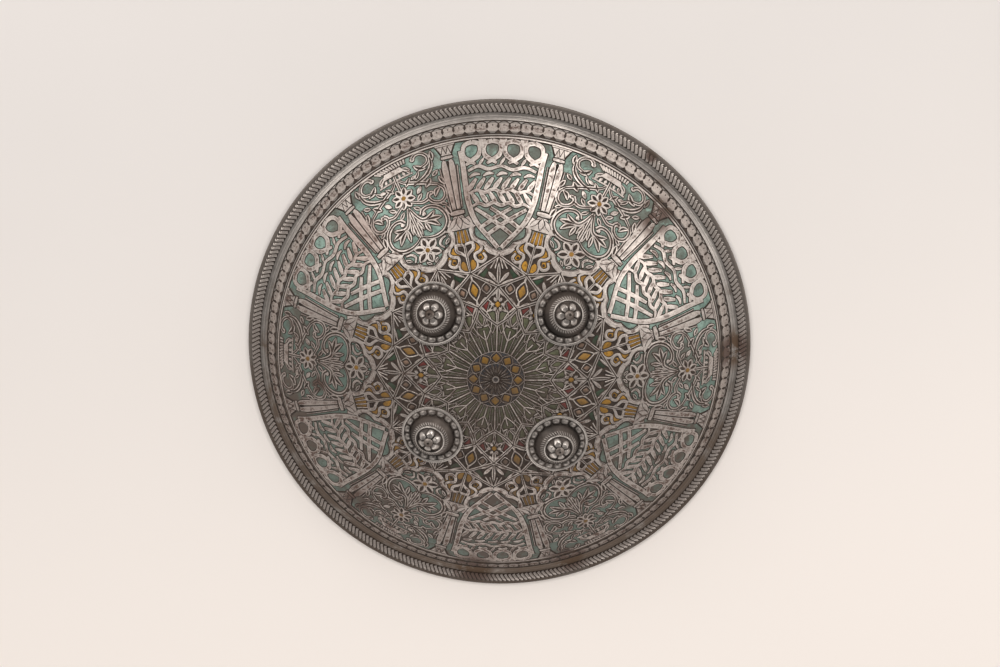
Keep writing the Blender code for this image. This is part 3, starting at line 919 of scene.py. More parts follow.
class SHIELD_OT_grounds(bpy.types.Operator):
    """Lay the dark ground and the coloured ones"""

    bl_idname = "shield.grounds"
    bl_label = "Grounds"

    def execute(self, context):
        top = sizes().enamel_height / MM
        self.bare(top * 0.5)
        self.turquoise(top)
        self.cells(top * 1.3)
        return {"FINISHED"}

    def bare(self, top):
        """A thin dark sheet over the whole dome, a lathe of one curved line."""
        radius = np.linspace(0.0, DOME_EDGE - 0.4, 50)[1:]
        plan = np.stack([np.zeros_like(radius), radius], axis=1)
        points, normals = lift(plan)
        upper = points + normals * top
        lower = (points - normals * 0.2)[::-1]
        both = np.vstack([upper, lower])
        heap = Heap()
        apexes = (SPHERE_Z + SPHERE + top, SPHERE_Z + SPHERE - 0.2)
        heap.add(*lathe(both[:, 1], both[:, 2], apexes, steps=168))
        heap.piece("dome_ground", dark_cut(), "dark_cut", smooth=35)

    def turquoise(self, top):
        """One sheet in each panel, as wide at each depth as the panel is."""
        depth = np.linspace(4.2, 109.6, 48)
        heap = Heap()
        heap.add(*patch(chart(strip(depth, panel_half(depth), 14)), top), ALL_AXES)
        heap.piece("panel_grounds", ground("turquoise", 0.72, 0.035), "turquoise_ground", smooth=30)

    def cells(self, top):
        """Small coloured cells of the star and of the spandrels."""
        heaps = {name: Heap() for name in ("amber", "beige", "red", "green", "olive", "blue")}

        def lay(name, grid, height=top, axes=ALL_AXES):
            heaps[name].add(*patch(grid, height), axes)

        mid = BAY / 2
        self.spandrel_cells(lay)
        for side in (-1, 1):
            lay("green", lozenge(side * 8.6, 0.404, 13.0, 9.5))
            lay("red", lozenge(side * 8.8, 0.281, 9.0, 7.4))
            lay("beige", lozenge(side * 7.4, 0.341, 5.6, 4.4))
            lay("olive", lozenge(side * 5.2, 0.235, 26.0, 7.0))
            lay("olive", wedge(side * 3.75, 0.112, 0.185, (3.0, 3.3)))
            lay("olive", wedge(mid - side * 3.75, 0.112, 0.2, (3.0, 3.3)))
        lay("amber", lozenge(mid, 0.339, 11.5, 6.2), top * 1.5)
        lay("amber", lozenge(0, 0.281, 5.4, 5.2), top * 1.5)
        lay("amber", lozenge(0, 0.0835, 7.4, 7.0), 0.6)
        share = np.linspace(-0.97, 0.97, 7)
        for depth in (40.5, 93.4):
            path = np.stack([np.zeros(7), depth + 2.1 * share], axis=1)
            lay("amber", chart(spindle(path, 2.1 * np.sqrt(1 - share**2))), 0.72, FLOWER_AXES)
        lay("olive", lozenge(mid, 0.222, 30.0, 15.0, rows=11))
        lay("blue", wedge(0, 0.004, 0.104, (15.2, 15.2), rows=8, columns=6))
        for name, grime in (("amber", 0.35), ("beige", 0.3), ("red", 0.3), ("green", 0.3),
                            ("olive", 0.5), ("blue", 0.4)):
            slot = "amber" if name == "beige" else name
            heaps[name].piece(name + "_cells", ground(name, grime), slot + "_ground")

    def spandrel_cells(self, lay):
        """Amber under the fluted foot and in the openings of the split leaf."""
        depth = np.linspace(87.5, 99.5, 4)
        lay("amber", chart(strip(depth, np.linspace(5.2, 6.6, 4), 4)), axes=COLUMN_AXES)
        spots = (((-9.5, 99.5), (-9.0, 110.0), 4.2), ((-14.5, 105.0), (-12.5, 117.0), 3.4),
                 ((-5.5, 115.0), (-3.5, 124.0), 3.2), ((-19.0, 108.5), (-24.5, 112.0), 2.2))
        for start, end, half in spots:
            for side in (-1, 1):
                path = line(start, end, step=1.6) * (side, 1.0)
                shape = half * np.sin(np.pi * np.linspace(0.12, 0.88, len(path))) ** 0.6
                lay("amber", chart(spindle(path, shape)), axes=COLUMN_AXES)


class SHIELD_OT_columns(bpy.types.Operator):
    """Raise the twelve columns with their capitals, rings and feet"""

    bl_idname = "shield.columns"
    bl_label = "Columns"

    def execute(self, context):
        work = Inlay(COLUMN_AXES, height=sizes().column_height / MM, crown=0.12)
        self.capital(work)
        self.shaft(work)
        self.foot(work)
        work.pieces("columns", silver_metal("column_silver", 0.86))
        return {"FINISHED"}

    def capital(self, work):
        """A flared block cut with a zigzag, and the ring of its neck."""
        work.stroke(line((0, 4.6), (0, 15.2)), (9.4, 4.4), outline=0.9)
        work.mark(line((-9.0, 6.2), (9.0, 6.2)), 0.35)
        low, high = 6.6, 14.2
        zigzag = ((-8.0, low), (-4.4, high), (-2.2, low), (0.0, high), (2.2, low), (4.4, high), (8.0, low))
        for a, b in zip(zigzag, zigzag[1:]):
            work.mark(line(a, b), 0.4)
        work.stroke(line((-5.2, 17.6), (5.2, 17.6)), (1.2, 1.6, 1.6, 1.2), outline=0.8)

    def shaft(self, work):
        """Two flutes with a dark line between them, and a thin strip down each side."""
        for side in (-1, 1):
            path = curve((2.3, 20.8), (3.3, 24.6), (2.7, 46.0), (2.0, 67.6)) * (side, 1.0)
            work.stroke(path, (1.8, 2.9, 2.75, 2.5, 2.25, 2.0, 1.75), outline=0.7)
            work.stroke(line((7.9, 27.0), (5.0, 66.5)) * (side, 1.0), 0.6, outline=0.6)
        work.mark(line((0, 21.0), (0, 67.5)), 0.42)

    def foot(self, work):
        """The base ring, a spreading foot and three leaves cut on it."""
        work.stroke(line((-6.0, 71.1), (6.0, 71.1)), (1.6, 2.2, 2.2, 1.6), outline=0.8)
        work.stroke(line((0, 74.3), (0, 86.4)), (4.2, 6.6, 10.0, 13.6), outline=0.8)
        edges = ((-0.4, 74.6), (-2.7, 80.0), (0.0, 86.0))
        leaf = ((2.2, 75.2), (7.2, 78.2), (10.4, 84.6))
        under = ((2.0, 76.0), (4.4, 81.5), (10.0, 85.2))
        for points, side in ((edges, 1), (edges, -1), (leaf, 1), (under, 1), (leaf, -1), (under, -1)):
            work.mark(curve(*points) * (side, 1.0), 0.36)


class SHIELD_OT_arches(bpy.types.Operator):
    """Raise the lobed and pointed arch of each panel"""

    bl_idname = "shield.arches"
    bl_label = "Arches"

    def execute(self, context):
        work = Inlay(ALL_AXES, height=sizes().column_height / MM, crown=0.1, both=True)
        lobe = curve((-29.5, 76.5), (-26.4, 81.6), (-24.6, 87.0), (-24.8, 91.0), (-22.6, 95.8),
                     (-18.2, 99.3), (-13.2, 101.6))
        point = curve((-13.4, 101.2), (-11.2, 104.4), (-7.6, 107.4), (0.0, 110.9))
        inner = curve((-23.3, 86.6), (-23.4, 91.0), (-21.4, 95.0), (-17.4, 98.2), (-13.0, 100.0))
        tip = curve((-12.4, 100.6), (-10.2, 103.6), (-6.8, 106.3), (0.0, 109.6))
        for path in (lobe, point):
            work.stroke(path, 2.1, outline=0.85)
        for path in (inner, tip):
            work.mark(path, 0.3)
        work.pieces("arches")
        return {"FINISHED"}


class SHIELD_OT_flowers(bpy.types.Operator):
    """Lay the scrolls and flowers of the six leafy panels"""

    bl_idname = "shield.flowers"
    bl_label = "Leafy panels"

    def execute(self, context):
        work = Inlay(FLOWER_AXES, bold=1.2, both=True)
        self.head(work)
        self.upper(work)
        self.middle(work)
        self.lower(work)
        work.pieces("leafy_panels")
        return {"FINISHED"}

    def leaves(self, work, *rows):
        """Leaves given as start, end and half-width, each with a dark line half as wide."""
        for start, end, half in rows:
            work.leaf(start, end, half, half * 0.5)

    def blossom(self, work, depth, turns, inner, reaches, half, core, eye):
        """Petals about a point on the panel's axis, at turns in degrees, and an eye between them."""
        for turn, reach in zip(turns, reaches):
            toward = np.array([math.sin(math.radians(turn)), -math.cos(math.radians(turn))])
            work.leaf((0.0, depth) + toward * inner, (0.0, depth) + toward * reach, half, core, both=False)
        work.dot(0.0, depth, eye, both=False)

    def head(self, work):
        """The hatched bar under the border, and the block with leaves below it."""
        for x in np.arange(-14.5, 15.0, 2.9):
            bar = line((x * 1.02 - 1.2, 5.0), (x * 0.8 + 1.2, 9.2))
            work.stroke(bar, 0.85, both=False, outline=0.5)
        work.stroke(line((0, 10.6), (0, 15.8)), (6.8, 9.4), both=False, outline=0.9)
        work.leaf((-8.5, 12.5), (-15.5, 17.6), 1.9, 0.6)
        for x in (-13.5, -9.0, -4.5, 4.5, 9.0, 13.5):
            work.leaf((x * 0.9, 16.6), (x * 1.1, 20.6), 1.3, both=False)
        work.stroke(line((-16.5, 21.2), (16.5, 21.2)), 0.8, both=False, outline=0.5)
        work.stroke(line((0, 17.0), (0, 31.5)), 1.3, 0.35, both=False)

    def upper(self, work):
        """The top scrolls with their curls, and the flower below them."""
        work.stroke(curve((-20.8, 21.5), (-26.0, 19.6), (-32.0, 17.0), (-34.2, 11.0), (-30.5, 6.0),
                          (-25.0, 5.2), (-21.0, 7.8)), (0.9, 1.4, 1.5, 1.5, 1.4, 1.7), 0.42)
        work.dot(-20.8, 9.0, 2.1, eye=0.8)
        work.leaf((-29.0, 21.8), (-19.6, 15.4), 2.4, 1.2, 0.12)
        work.stroke(curve((-36.0, 13.0), (-34.5, 20.0), (-30.0, 26.0), (-23.0, 30.5), (-13.0, 33.4)),
                    (0.8, 1.7, 2.0, 1.6, 1.0), 0.55)
        work.stroke(curve((-2.0, 22.5), (-6.0, 27.2), (-14.0, 31.2), (-24.0, 35.6), (-33.0, 40.2)),
                    (1.0, 1.6, 1.5, 1.2), 0.45)
        work.leaf((-12.0, 24.4), (-6.0, 31.6), 1.9, 0.8)
        work.leaf((-18.5, 25.0), (-12.5, 27.0), 1.5)
        work.leaf((-38.0, 27.0), (-31.5, 31.5), 1.9, 0.7)
        self.leaves(work, ((-38.5, 6.6), (-37.4, 16.0), 2.0), ((-29.6, 32.4), (-22.2, 39.6), 2.3),
                    ((-36.4, 33.4), (-39.2, 42.0), 2.0), ((-22.0, 22.2), (-16.6, 29.0), 1.5))
        self.blossom(work, 40.5, 45.0 * np.arange(8) + 22.5, 2.6, [10.8] * 8, 2.7, 1.5, 3.2)

    def middle(self, work):
        """Side scrolls beside the flower, tied to it by a short branch."""
        work.stroke(curve((-33.0, 40.2), (-36.6, 46.0), (-35.0, 53.0), (-29.0, 56.8), (-22.8, 54.4),
                          (-20.6, 49.0), (-23.4, 45.4)), (1.0, 1.6, 1.6, 1.5, 1.5, 1.8), 0.45)
        work.dot(-24.4, 46.2, 2.0, eye=0.8)
        work.leaf((-34.0, 43.4), (-26.6, 50.8), 2.1, 0.9, -0.14)
        work.stroke(curve((-20.6, 50.0), (-14.5, 51.6), (-8.6, 49.0), (-4.4, 46.4)), (1.7, 1.4, 1.1), 0.4)
        work.leaf((-16.5, 43.5), (-10.5, 48.6), 1.7, 0.7)
        work.leaf((-18.5, 36.8), (-13.0, 42.4), 1.8)
        self.leaves(work, ((-33.5, 60.6), (-28.0, 58.0), 1.6), ((-4.6, 52.4), (-10.4, 57.4), 1.7),
                    ((-31.4, 61.6), (-32.6, 71.6), 2.2))
        work.stroke(line((0, 51.0), (0, 81.5)), 1.3, 0.35, both=False)
        work.stroke(curve((-0.8, 52.5), (-3.6, 61.0), (-7.0, 66.4), (-11.5, 67.6)),
                    (1.0, 1.4, 1.6, 2.0), 0.45)
        work.leaf((-2.6, 64.0), (-5.6, 75.5), 1.5, 0.5)

    def lower(self, work):
        """The two great scrolls with half leaves in them, and the star flower in the point."""
        work.stroke(curve((-0.8, 80.6), (-5.0, 83.6), (-13.0, 85.2), (-21.5, 82.6), (-27.4, 76.0),
                          (-28.4, 68.0), (-24.8, 60.8), (-17.8, 57.2), (-11.4, 58.0), (-8.6, 61.8)),
                    (1.0, 1.5, 1.8, 1.8, 1.7, 1.5, 1.9), 0.5)
        work.dot(-10.6, 62.0, 1.8)
        for row in (((-9.0, 67.4), (-20.4, 62.6), 2.1, 0.9, -0.1), ((-9.5, 67.8), (-24.2, 69.8), 2.3, 1.1),
                    ((-9.0, 68.6), (-19.8, 77.4), 2.2, 1.0, 0.1), ((-8.4, 69.2), (-10.0, 79.6), 1.8, 0.7)):
            work.leaf(*row)
        self.blossom(work, 93.4, 60.0 * np.arange(6), 2.4, [11.4, 12.4, 12.4] * 2, 3.3, 1.7, 3.0)
        work.stroke(curve((-20.0, 88.0), (-15.0, 89.6), (-12.2, 93.6), (-14.6, 97.4)), (0.7, 1.1, 0.7))
        self.leaves(work, ((-22.0, 90.5), (-16.5, 95.5), 1.4), ((-20.4, 85.2), (-26.0, 80.4), 1.8),
                    ((-1.9, 67.0), (-2.4, 79.0), 1.5), ((-5.6, 102.6), (-1.6, 106.6), 1.3))


class SHIELD_OT_strokes(bpy.types.Operator):
    """Lay rows of plain strokes in the six broad panels"""

    bl_idname = "shield.strokes"
    bl_label = "Stroke panels"

    def execute(self, context):
        work = Inlay(STROKE_AXES)
        for x in (-28.2, -9.4, 9.4, 28.2):
            for side in (-1, 1):
                loop = curve((x, 6.4), (x + side * 6.2, 8.8), (x + side * 7.6, 14.6),
                             (x + side * 6.2, 20.6), (x + side * 1.4, 24.6), (x - side * 4.2, 28.6))
                work.stroke(loop, (2.5, 2.3, 1.8, 2.4, 2.3, 1.4))
        for x in (-18.8, 0.0, 18.8):
            work.stroke(line((x, 4.6), (x, 12.0)), (3.6, 2.6, 1.2))
            work.leaf((x - 2.4, 30.6), (x + 2.4, 22.4), 1.5)
        work.stroke(curve((-30.0, 34.4), (-21.0, 30.8), (-12.0, 34.2), (-1.0, 31.4), (9.0, 34.6),
                          (20.0, 31.4), (30.0, 34.2)), (1.4, 2.0, 1.5, 2.0, 1.4))
        self.rows(work)
        rail = curve((38.5, 14.0), (35.0, 28.0), (32.0, 46.0), (28.4, 64.0), (20.5, 83.0), (1.4, 106.0))
        slants = (line((22.4, 70.0), (-11.4, 94.6)), line((9.0, 70.4), (-17.6, 88.0)))
        for side in (-1, 1):
            work.stroke(rail * (side, 1.0), (1.8, 2.5, 2.6, 2.4, 2.1, 2.1))
            for slant in slants:
                work.stroke(slant * (side, 1.0), (1.6, 2.1, 1.8))
        work.pieces("stroke_panels")
        return {"FINISHED"}

    def rows(self, work):
        """Two rows of short slanting strokes, leaning against each other, with waves between."""
        rows = ((48.0, 11.0, 1.0, 26.0, 8), (60.5, 10.4, -1.0, 23.0, 7))
        for middle, tall, lean, reach, count in rows:
            for x in np.linspace(-reach, reach, count):
                work.stroke(curve((x - lean * 3.6, middle + tall / 2), (x - lean * 0.4, middle + 0.6),
                                  (x + lean * 3.4, middle - tall / 2)), (1.3, 2.35, 2.0, 1.3))
            wave = np.linspace(-reach - 3.0, reach + 3.0, 9)
            dip = middle + tall / 2 + 1.2 + 1.3 * np.cos(np.arange(9) * np.pi)
            work.stroke(curve(*zip(wave, dip)), (1.2, 1.8, 1.8, 1.8, 1.2))
        for x in (-24.0, -12.0, 0.0, 12.0, 24.0):
            work.stroke(curve((x - 4.6, 40.6), (x, 38.2), (x + 4.6, 38.8)), (0.9, 1.9, 0.9))


class SHIELD_OT_spandrels(bpy.types.Operator):
    """Fill the spaces between the arches with split leaves"""

    bl_idname = "shield.spandrels"
    bl_label = "Spandrels"

    def execute(self, context):
        work = Inlay(COLUMN_AXES, both=True)
        for x in (-4.6, -1.55, 1.55, 4.6):
            work.stroke(line((x, 87.6), (x * 1.25, 99.6)), 0.55, both=False, outline=0.25)
        work.stroke(line((-7.2, 87.0), (-8.2, 99.8)), 0.8, outline=0.5)
        work.stroke(curve((0, 100.2), (0, 112.0), (0, 126.5)), (1.1, 1.4, 0.8), 0.4, both=False)
        work.stroke(curve((-1.0, 100.4), (-6.8, 99.6), (-7.4, 104.4), (-3.4, 107.8), (-0.6, 111.0)),
                    (1.2, 1.6, 1.6, 1.0))
        work.mark(*round_dot(-4.2, 103.2, 1.3))
        work.stroke(curve((-12.6, 101.2), (-14.6, 104.6), (-12.0, 108.2), (-7.4, 110.2),
                          (-7.6, 115.0), (-12.0, 117.6), (-16.2, 114.2), (-14.6, 109.8)),
                    (0.8, 1.3, 1.5, 1.4, 1.5, 1.4, 1.2))
        work.mark(*round_dot(-11.6, 113.4, 1.3))
        work.stroke(curve((-7.6, 115.4), (-8.0, 120.4), (-4.6, 124.6), (0.0, 127.4)), (0.8, 1.2, 1.0))
        work.stroke(curve((-16.6, 106.0), (-19.8, 109.4), (-26.4, 113.0)), (0.8, 1.3, 0.8))
        work.pieces("spandrels")
        return {"FINISHED"}


class SHIELD_OT_star(bpy.types.Operator):
    """Lay the twelve-pointed interlace and what fills its cells"""

    bl_idname = "shield.star"
    bl_label = "Star"

    def execute(self, context):
        work = StarInlay(bold=1.14)
        self.lattice(work)
        self.fans(work)
        self.cells(work)
        self.petals(work)
        work.pieces("star")
        return {"FINISHED"}

    def lattice(self, work):
        """The main lines, each doubled by a dark one down its middle."""
        knots = ((0.0, 0.454), (15.0, 0.400), (0.0, 0.345), (15.0, 0.275), (0.0, 0.205))
        for a, b in zip(knots, knots[1:]):
            path = straight(a, b)
            if b == knots[-1]:
                path[:, 0] += 1.5 * np.sin(np.pi * np.linspace(0.0, 1.0, len(path)))
            work.stroke(path, 1.3, 0.42, both=True)
        for angle, share, half, outline in ((0.0, 0.205, 0.6, None), (15.0, 0.19, 0.6, None),
                                            (7.5, 0.186, 0.4, 0.4), (-7.5, 0.186, 0.4, 0.4)):
            work.stroke(straight((angle, share), (angle, 0.108)), half, outline=outline)

    def fans(self, work):
        """Lines spreading from each arch's point, and a lily on each crossing below it."""
        for angle in (2.0, 4.4):
            work.stroke(straight((angle * 0.3, 0.446), (angle, 0.41)), 0.6, both=True, outline=0.4)
        work.leaf((0.0, 0.430), (0.0, 0.352), 1.6, 0.6)
        work.leaf((0.8, 0.360), (5.4, 0.398), 1.5, bend=0.14, both=True)
        work.leaf((1.6, 0.354), (8.4, 0.376), 1.3, both=True)
        work.leaf((11.6, 0.392), (6.2, 0.421), 1.0, both=True)

    def cells(self, work):
        """Frames round the amber drops, diamonds and small flowers."""
        mid = BAY / 2
        work.frame(mid, 0.339, 18.0, 10.0, 0.6)
        work.leaf((mid, 0.392), (mid, 0.372), 1.0)
        work.leaf((mid, 0.305), (mid, 0.283), 1.0)
        for side in (-1, 1):
            work.frame(side * 7.4, 0.341, 9.6, 8.4, 0.45)
            work.frame(side * 8.8, 0.281, 12.6, 10.6, 0.5)
        work.leaf((0.0, 0.341), (0.0, 0.296), 1.8, 0.5)
        work.leaf((0.8, 0.338), (5.2, 0.312), 1.3, bend=-0.1, both=True)
        for k in range(6):
            x, y = about(1.0, math.radians(60.0 * k + 30.0))
            plan = [(x * reach, 0.281 * RIM_RADIUS + y * reach) for reach in (2.8, 6.6)]
            work.leaf(*((math.degrees(math.atan2(*p)), math.hypot(*p) / RIM_RADIUS) for p in plan), 1.4)

    def petals(self, work):
        """Long petals towards the middle, a lotus in each."""
        mid = BAY / 2
        work.frame(mid, 0.222, 33.0, 17.0, 0.5)
        work.frame(mid, 0.235, 12.5, 5.6, 0.4)
        for side in (-1, 1):
            work.leaf((mid + side * 1.0, 0.206), (mid + side * 5.0, 0.236), 1.25, 0.6)
            work.leaf((mid + side * 1.0, 0.203), (mid + side * 6.8, 0.209), 0.8)
            work.frame(side * 5.2, 0.235, 28.0, 9.0, 0.4)
            work.leaf((side * 3.6, 0.262), (side * 8.6, 0.258), 0.9)
        work.leaf((0.0, 0.262), (0.0, 0.212), 1.2, 0.4)
        for angle in (3.75, 26.25):
            work.stroke(straight((angle, 0.182), (angle, 0.132)), 0.32, outline=0.3)


class SHIELD_OT_centre(bpy.types.Operator):
    """Set the amber studs and the rosette in the middle"""

    bl_idname = "shield.centre"
    bl_label = "Centre"

    def execute(self, context):
        work = StarInlay()
        work.frame(0.0, 0.0845, 10.6, 11.0, 0.42)
        work.leaf((0.0, 0.012), (0.0, 0.052), 0.75, 0.4)
        work.leaf((15.0, 0.02), (15.0, 0.068), 0.75, 0.4)
        places = [(share * RIM_RADIUS, half) for share, half in ((0.107, 0.4), (0.0615, 0.35), (0.011, 0.7))]
        rings(places, ridge(0.2, 0.38, 0.46), 144).bright("centre_rings")
        work.pieces("centre_rosette")
        return {"FINISHED"}


def boss_height(radius, angle):
    """Height of a boss's face over its seat, and how far it is rubbed bright.

    A flat edge, a channel with a ring of half-round beads, a swelling body, a rope of fine
    oblique beads, a wire, a sunk ring, and six pointed petals about the bolt.
    """
    height = np.interp(radius, [2.8, 4.6, 8.0, 10.9, 11.9, 12.5, 13.6, 16.6, 18.6, 19.4, 20.2,
                                25.3, 25.8, 26.1, 27.7, 28.0],
                       [13.6, 13.9, 12.2, 9.8, 9.5, 10.2, 10.0, 7.9, 4.6, 3.0, 1.0,
                        1.0, 1.4, 1.8, 1.8, 1.6])
    # Brightness is partly wear on what stands up and partly painted highlight.
    bright = np.interp(radius, [4, 11, 11.8, 12.3, 14, 16.6, 19, 20, 25.4, 26.2, 28],
                       [0.1, 0.05, 0.0, 0.4, 0.1, 0.04, 0.03, 0.0, 0.02, 0.7, 0.6])
    beads, bead_ring, rope_ring, wire_ring = 18, 22.8, 15.1, 12.75
    turn = (angle * beads / (2 * np.pi)) % 1.0 - 0.5
    aside = np.abs(turn * 2 * np.pi * 22.7 / beads / 3.3) ** 3
    away = (aside + np.abs((radius - bead_ring) / 2.6) ** 3) ** (1 / 3)
    dome = np.clip(1 - away**2, 0, 1) ** 0.6
    strands = 44
    twist = np.cos(strands * angle + (radius - 15.0) * 1.5)
    rope = np.clip(1 - np.abs(radius - rope_ring) / 1.5, 0, 1) ** 0.5
    wire = np.sqrt(np.clip(1 - ((radius - wire_ring) / 0.7) ** 2, 0, 1))
    height = height + dome * 1.9 + rope * (0.3 + 0.34 * twist) + wire * 0.75
    # Painted highlights on the beads, on each twist of the rope and on the wire.
    bright = bright + dome * 0.48 + rope * (0.12 + 0.34 * twist) + wire * 0.6
    phase = np.abs((angle * 6 / (2 * np.pi) + 0.5) % 1.0 - 0.5) * 2
    limit = 11.4 - 4.4 * phase**2.2
    gap = np.clip((1 - phase) * radius / 1.9, 0, 1)
    inside = np.clip((limit - radius) / 0.8, 0, 1) * gap
    along = np.clip((radius - 2.8) / (limit - 2.8), 0, 1)
    swell = np.sin(np.pi * along**1.6) ** 0.8 * np.sqrt(gap)
    petal = np.where(radius < 11.6, 1.0, 0.0)
    height = height + petal * inside * (0.3 + 1.9 * swell)
    # Painted glints on the petals, strongest towards their tips.
    bright = bright * (1 - petal * 0.7) + petal * inside * (0.15 + 0.75 * swell * (0.4 + 0.6 * along))
    return height, np.clip(bright, 0, 1)


def seat_matrix(angle_degrees, distance):
    """Where a boss stands: its axis along the dome's normal, its own X nearest the world's X."""
    angle = math.radians(angle_degrees)
    x, y = distance * math.sin(angle), distance * math.cos(angle)
    seat = Vector((x, y, SPHERE_Z + math.sqrt(SPHERE**2 - distance**2)))
    up = (seat - Vector((0.0, 0.0, SPHERE_Z))).normalized()
    across = (Vector((1.0, 0.0, 0.0)) - up * up.x).normalized()
    turn = Matrix((across, up.cross(across), up)).transposed()
    return np.array(turn), np.array(seat)


class SHIELD_OT_bosses(bpy.types.Operator):
    """Shape the four bosses with their beads, rope and petals"""

    bl_idname = "shield.bosses"
    bl_label = "Bosses"

    def execute(self, context):
        steps = 264
        radius = np.concatenate([np.linspace(2.9, 12.0, 26), np.linspace(12.2, 20.0, 26),
                                 np.linspace(20.3, 28.0, 24)])
        under = np.array([(28.0, self.foot(28.0)), (20.0, self.foot(20.0)), (13.4, 7.0), (2.9, 12.8)])
        rho, phi = np.meshgrid(np.append(radius, under[:, 0]), circle(steps), indexing="ij")
        height, wear = boss_height(rho, phi)
        height[len(radius):] = under[:, 1:]
        wear[len(radius):] = 0.1
        points = spatial(about(rho, phi), height).reshape(-1, 3)
        faces = [tube_faces(len(rho), steps, joined=True)]
        for number, place in enumerate(BOSS_PLACES, start=1):
            turn, seat = seat_matrix(*place)
            heap = Heap()
            heap.add(turned(points, 23.0 * number) @ turn.T + seat, faces, wear=wear.ravel())
            boss = heap.piece(f"boss_cap_{number}", boss_metal(), "boss_iron", smooth=60)
            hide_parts(f"boss_{number}")
        return {"FINISHED"}

    def foot(self, radius):
        """Underside of a boss over the dome's curve."""
        return math.sqrt(SPHERE**2 - radius**2) - SPHERE + 0.3


class SHIELD_OT_bolts(bpy.types.Operator):
    """Turn the four bolts, each with a pierced head outside and a ring eye in the bowl"""

    bl_idname = "shield.bolts"
    bl_label = "Bolts"

    def execute(self, context):
        seat, collar = 14.9, -SHEET - 0.7
        stem_end = collar - 1.6 - 2.5 - 1.7
        turned_part = np.array([
            (1.0, seat + 0.6), (1.1, seat + 1.9), (1.5, seat + 2.1), (2.4, seat + 1.9),
            (3.5, seat + 1.2), (4.1, seat + 0.5), (4.1, seat), (2.5, seat), (2.5, collar),
            (6.1, collar), (6.5, collar - 0.3), (6.5, collar - 1.3), (6.1, collar - 1.6),
            (2.5, collar - 1.6), (2.5, stem_end)])
        spindle_mesh = lathe(turned_part[:, 0], turned_part[:, 1], (seat + 0.6, stem_end), 48)
        eye = self.eye(stem_end - 6.3)
        for number, place in enumerate(BOSS_PLACES, start=1):
            turn, seat_point = seat_matrix(*place)
            heap = Heap()
            for points, faces in (spindle_mesh, eye):
                heap.add(points @ turn.T + seat_point, faces)
            bolt = heap.piece(f"bolt_iron_{number}", bolt_metal(), "bolt_iron", smooth=40)
            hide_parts(f"bolt_{number}")
        return {"FINISHED"}

    def eye(self, middle):
        """A ring whose hole looks along X: an oval section carried round a circle."""
        around, across = circle(48)[:, None], circle(14)[None, :]
        reach = 6.3 + 1.7 * np.cos(across)
        points = np.stack([np.broadcast_to(2.25 * np.sin(across), (48, 14)),
                           reach * np.sin(around), middle + reach * np.cos(around)], axis=-1)
        return points.reshape(-1, 3), [tube_faces(48, 14, joined=True)]


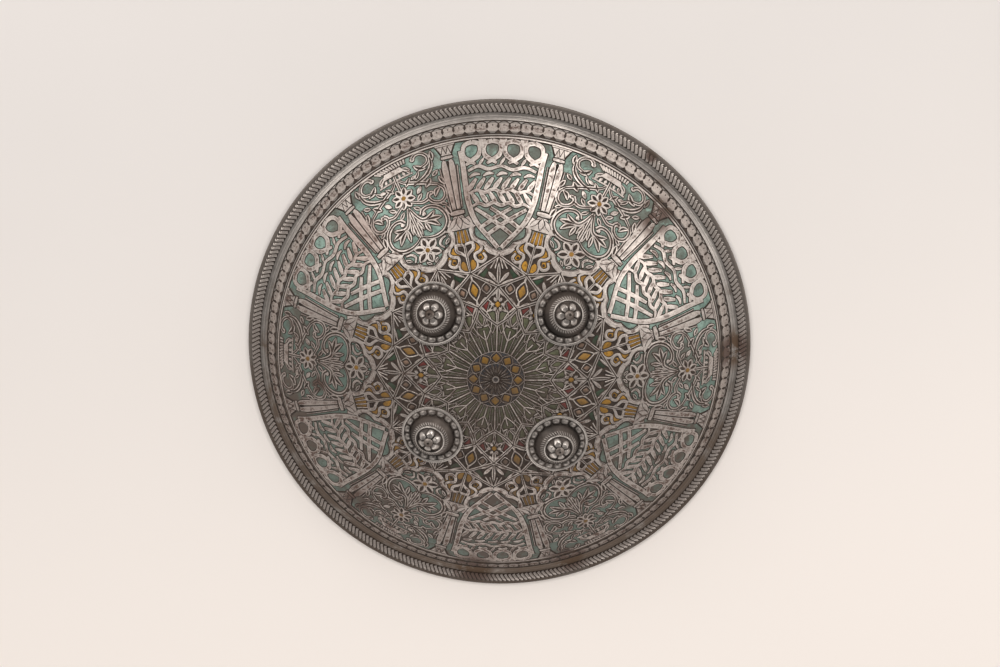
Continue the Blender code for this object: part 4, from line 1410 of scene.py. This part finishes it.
class SHIELD_OT_stage(bpy.types.Operator):
    """Set the pale floor, the soft lights and the camera"""

    bl_idname = "shield.stage"
    bl_label = "Stage"

    def execute(self, context):
        self.floor()
        self.lights()
        self.camera()
        return {"FINISHED"}

    def floor(self):
        """A wide level sheet just under the rim."""
        half, gap, cells = 4.0, 0.0004, 8
        side = np.linspace(-half, half, cells + 1)
        x, y = np.meshgrid(side, side, indexing="ij")
        points = np.stack([x, y, np.full_like(x, -gap)], axis=-1).reshape(-1, 3)
        i, j = np.meshgrid(np.arange(cells), np.arange(cells), indexing="ij")
        a = (i * len(side) + j).ravel()
        faces = np.stack([a, a + len(side), a + len(side) + 1, a + 1], axis=1)
        mesh = bpy.data.meshes.new("floor")
        mesh.from_pydata(points.tolist(), [], faces.tolist())
        floor = bpy.data.objects.new("floor", mesh)
        bpy.context.scene.collection.objects.link(floor)
        f = Finish("pale_paper")
        cloud = f.noise(3.0, 3.0, 0.5)
        paper = f.mix(f.ramp(cloud, 0.3, 0.7), (0.67, 0.637, 0.614), (0.685, 0.651, 0.629))
        # Painted light: the paper is painted lighter towards the lower side of the view, a little to the
        # right.
        far = f.ramp(f.along(0.14, -0.99), -0.35, 0.4)
        mesh.materials.append(f.made(f.mix(far, paper, (0.88, 0.815, 0.765)), 0.9))

    def lights(self):
        """Broad soft lamps round the shield, stronger from its upper left."""
        lamps = (("upper_left", (-1.25, 1.15, 1.35), 1.7, 21.0), ("right", (1.7, 0.5, 1.3), 1.2, 12.0),
                 ("back", (0.45, 1.8, 1.25), 0.9, 12.5), ("front", (0.0, -1.8, 1.5), 1.5, 8.5))
        for name, place, size, power in lamps:
            lamp = bpy.data.lights.new("lamp_" + name, "AREA")
            lamp.shape = "DISK"
            lamp.size = size
            lamp.energy = power
            lamp.color = (1.0, 0.975, 0.95)
            holder = bpy.data.objects.new("lamp_" + name, lamp)
            holder.location = place
            aim = Vector((0.0, 0.0, 0.03)) - Vector(place)
            holder.rotation_euler = aim.to_track_quat("-Z", "Y").to_euler()
            bpy.context.scene.collection.objects.link(holder)
        self.room()

    def room(self):
        """The room round the shield: pale walls, and a dim ceiling over the camera."""
        world = bpy.data.worlds.new("studio")
        world.use_nodes = True
        nodes = Nodes(world.node_tree)
        toward = nodes.node("ShaderNodeTexCoord", "Generated", {})
        height = nodes.node("ShaderNodeSeparateXYZ", "Z", {"Vector": toward})
        background = world.node_tree.nodes["Background"]
        nodes.give(background.inputs["Color"], (1.0, 0.965, 0.94))
        nodes.give(background.inputs["Strength"], nodes.ramp(height, 0.35, 0.95, 0.95, 0.16))
        bpy.context.scene.world = world
        bpy.context.scene.view_settings.view_transform = "Standard"

    def camera(self):
        """Look down on the lying shield from the place that the photograph was taken from.

        The camera stands 5.53 rim radii off, tipped back 14.66 and sideways 1.44 degrees from the
        shield's axis, with the shield's pattern turned 1.42 degrees.
        """
        distance, tip, sway, roll = 1.3003, math.radians(14.66), math.radians(-1.44), math.radians(1.42)
        rows = Matrix.Rotation(tip, 3, "X") @ Matrix.Rotation(sway, 3, "Y")
        turn = Matrix.Rotation(roll, 3, "Z")
        right, up, back = (turn @ rows[i] for i in range(3))
        place = back * distance + right * 0.00148 + up * 0.01789
        place.z += 0.003
        lens = bpy.data.cameras.new("camera")
        lens.lens = 50.0
        lens.sensor_width = 36.0
        camera = bpy.data.objects.new("camera", lens)
        camera.matrix_world = Matrix.Translation(place) @ Matrix((right, up, back)).transposed().to_4x4()
        bpy.context.scene.collection.objects.link(camera)
        bpy.context.scene.camera = camera


class SHIELD_PT_panel(bpy.types.Panel):
    """Lists the steps that build the shield"""

    bl_label = "Shield"
    bl_idname = "SHIELD_PT_panel"
    bl_space_type = "VIEW_3D"
    bl_region_type = "UI"
    bl_category = "Shield"

    def draw(self, context):
        for group in (context.scene.shield_sizes, context.scene.shield_colours):
            for name in group.__annotations__:
                self.layout.prop(group, name)
        for step in STEPS:
            self.layout.operator(step.bl_idname)


STEPS = (
    SHIELD_OT_plate,
    SHIELD_OT_rim,
    SHIELD_OT_grounds,
    SHIELD_OT_columns,
    SHIELD_OT_arches,
    SHIELD_OT_flowers,
    SHIELD_OT_strokes,
    SHIELD_OT_spandrels,
    SHIELD_OT_star,
    SHIELD_OT_centre,
    SHIELD_OT_bosses,
    SHIELD_OT_bolts,
    SHIELD_OT_stage,
)
CLASSES = (ShieldSizes, ShieldColours, *STEPS, SHIELD_PT_panel)


def register():
    for one in CLASSES:
        bpy.utils.register_class(one)
    bpy.types.Scene.shield_sizes = PointerProperty(type=ShieldSizes)
    bpy.types.Scene.shield_colours = PointerProperty(type=ShieldColours)


def unregister():
    del bpy.types.Scene.shield_colours
    del bpy.types.Scene.shield_sizes
    for one in reversed(CLASSES):
        bpy.utils.unregister_class(one)


def main():
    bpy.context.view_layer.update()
    register()
    for step in STEPS:
        group, name = step.bl_idname.split(".")
        getattr(getattr(bpy.ops, group), name)()


if __name__ == "__main__":
    main()
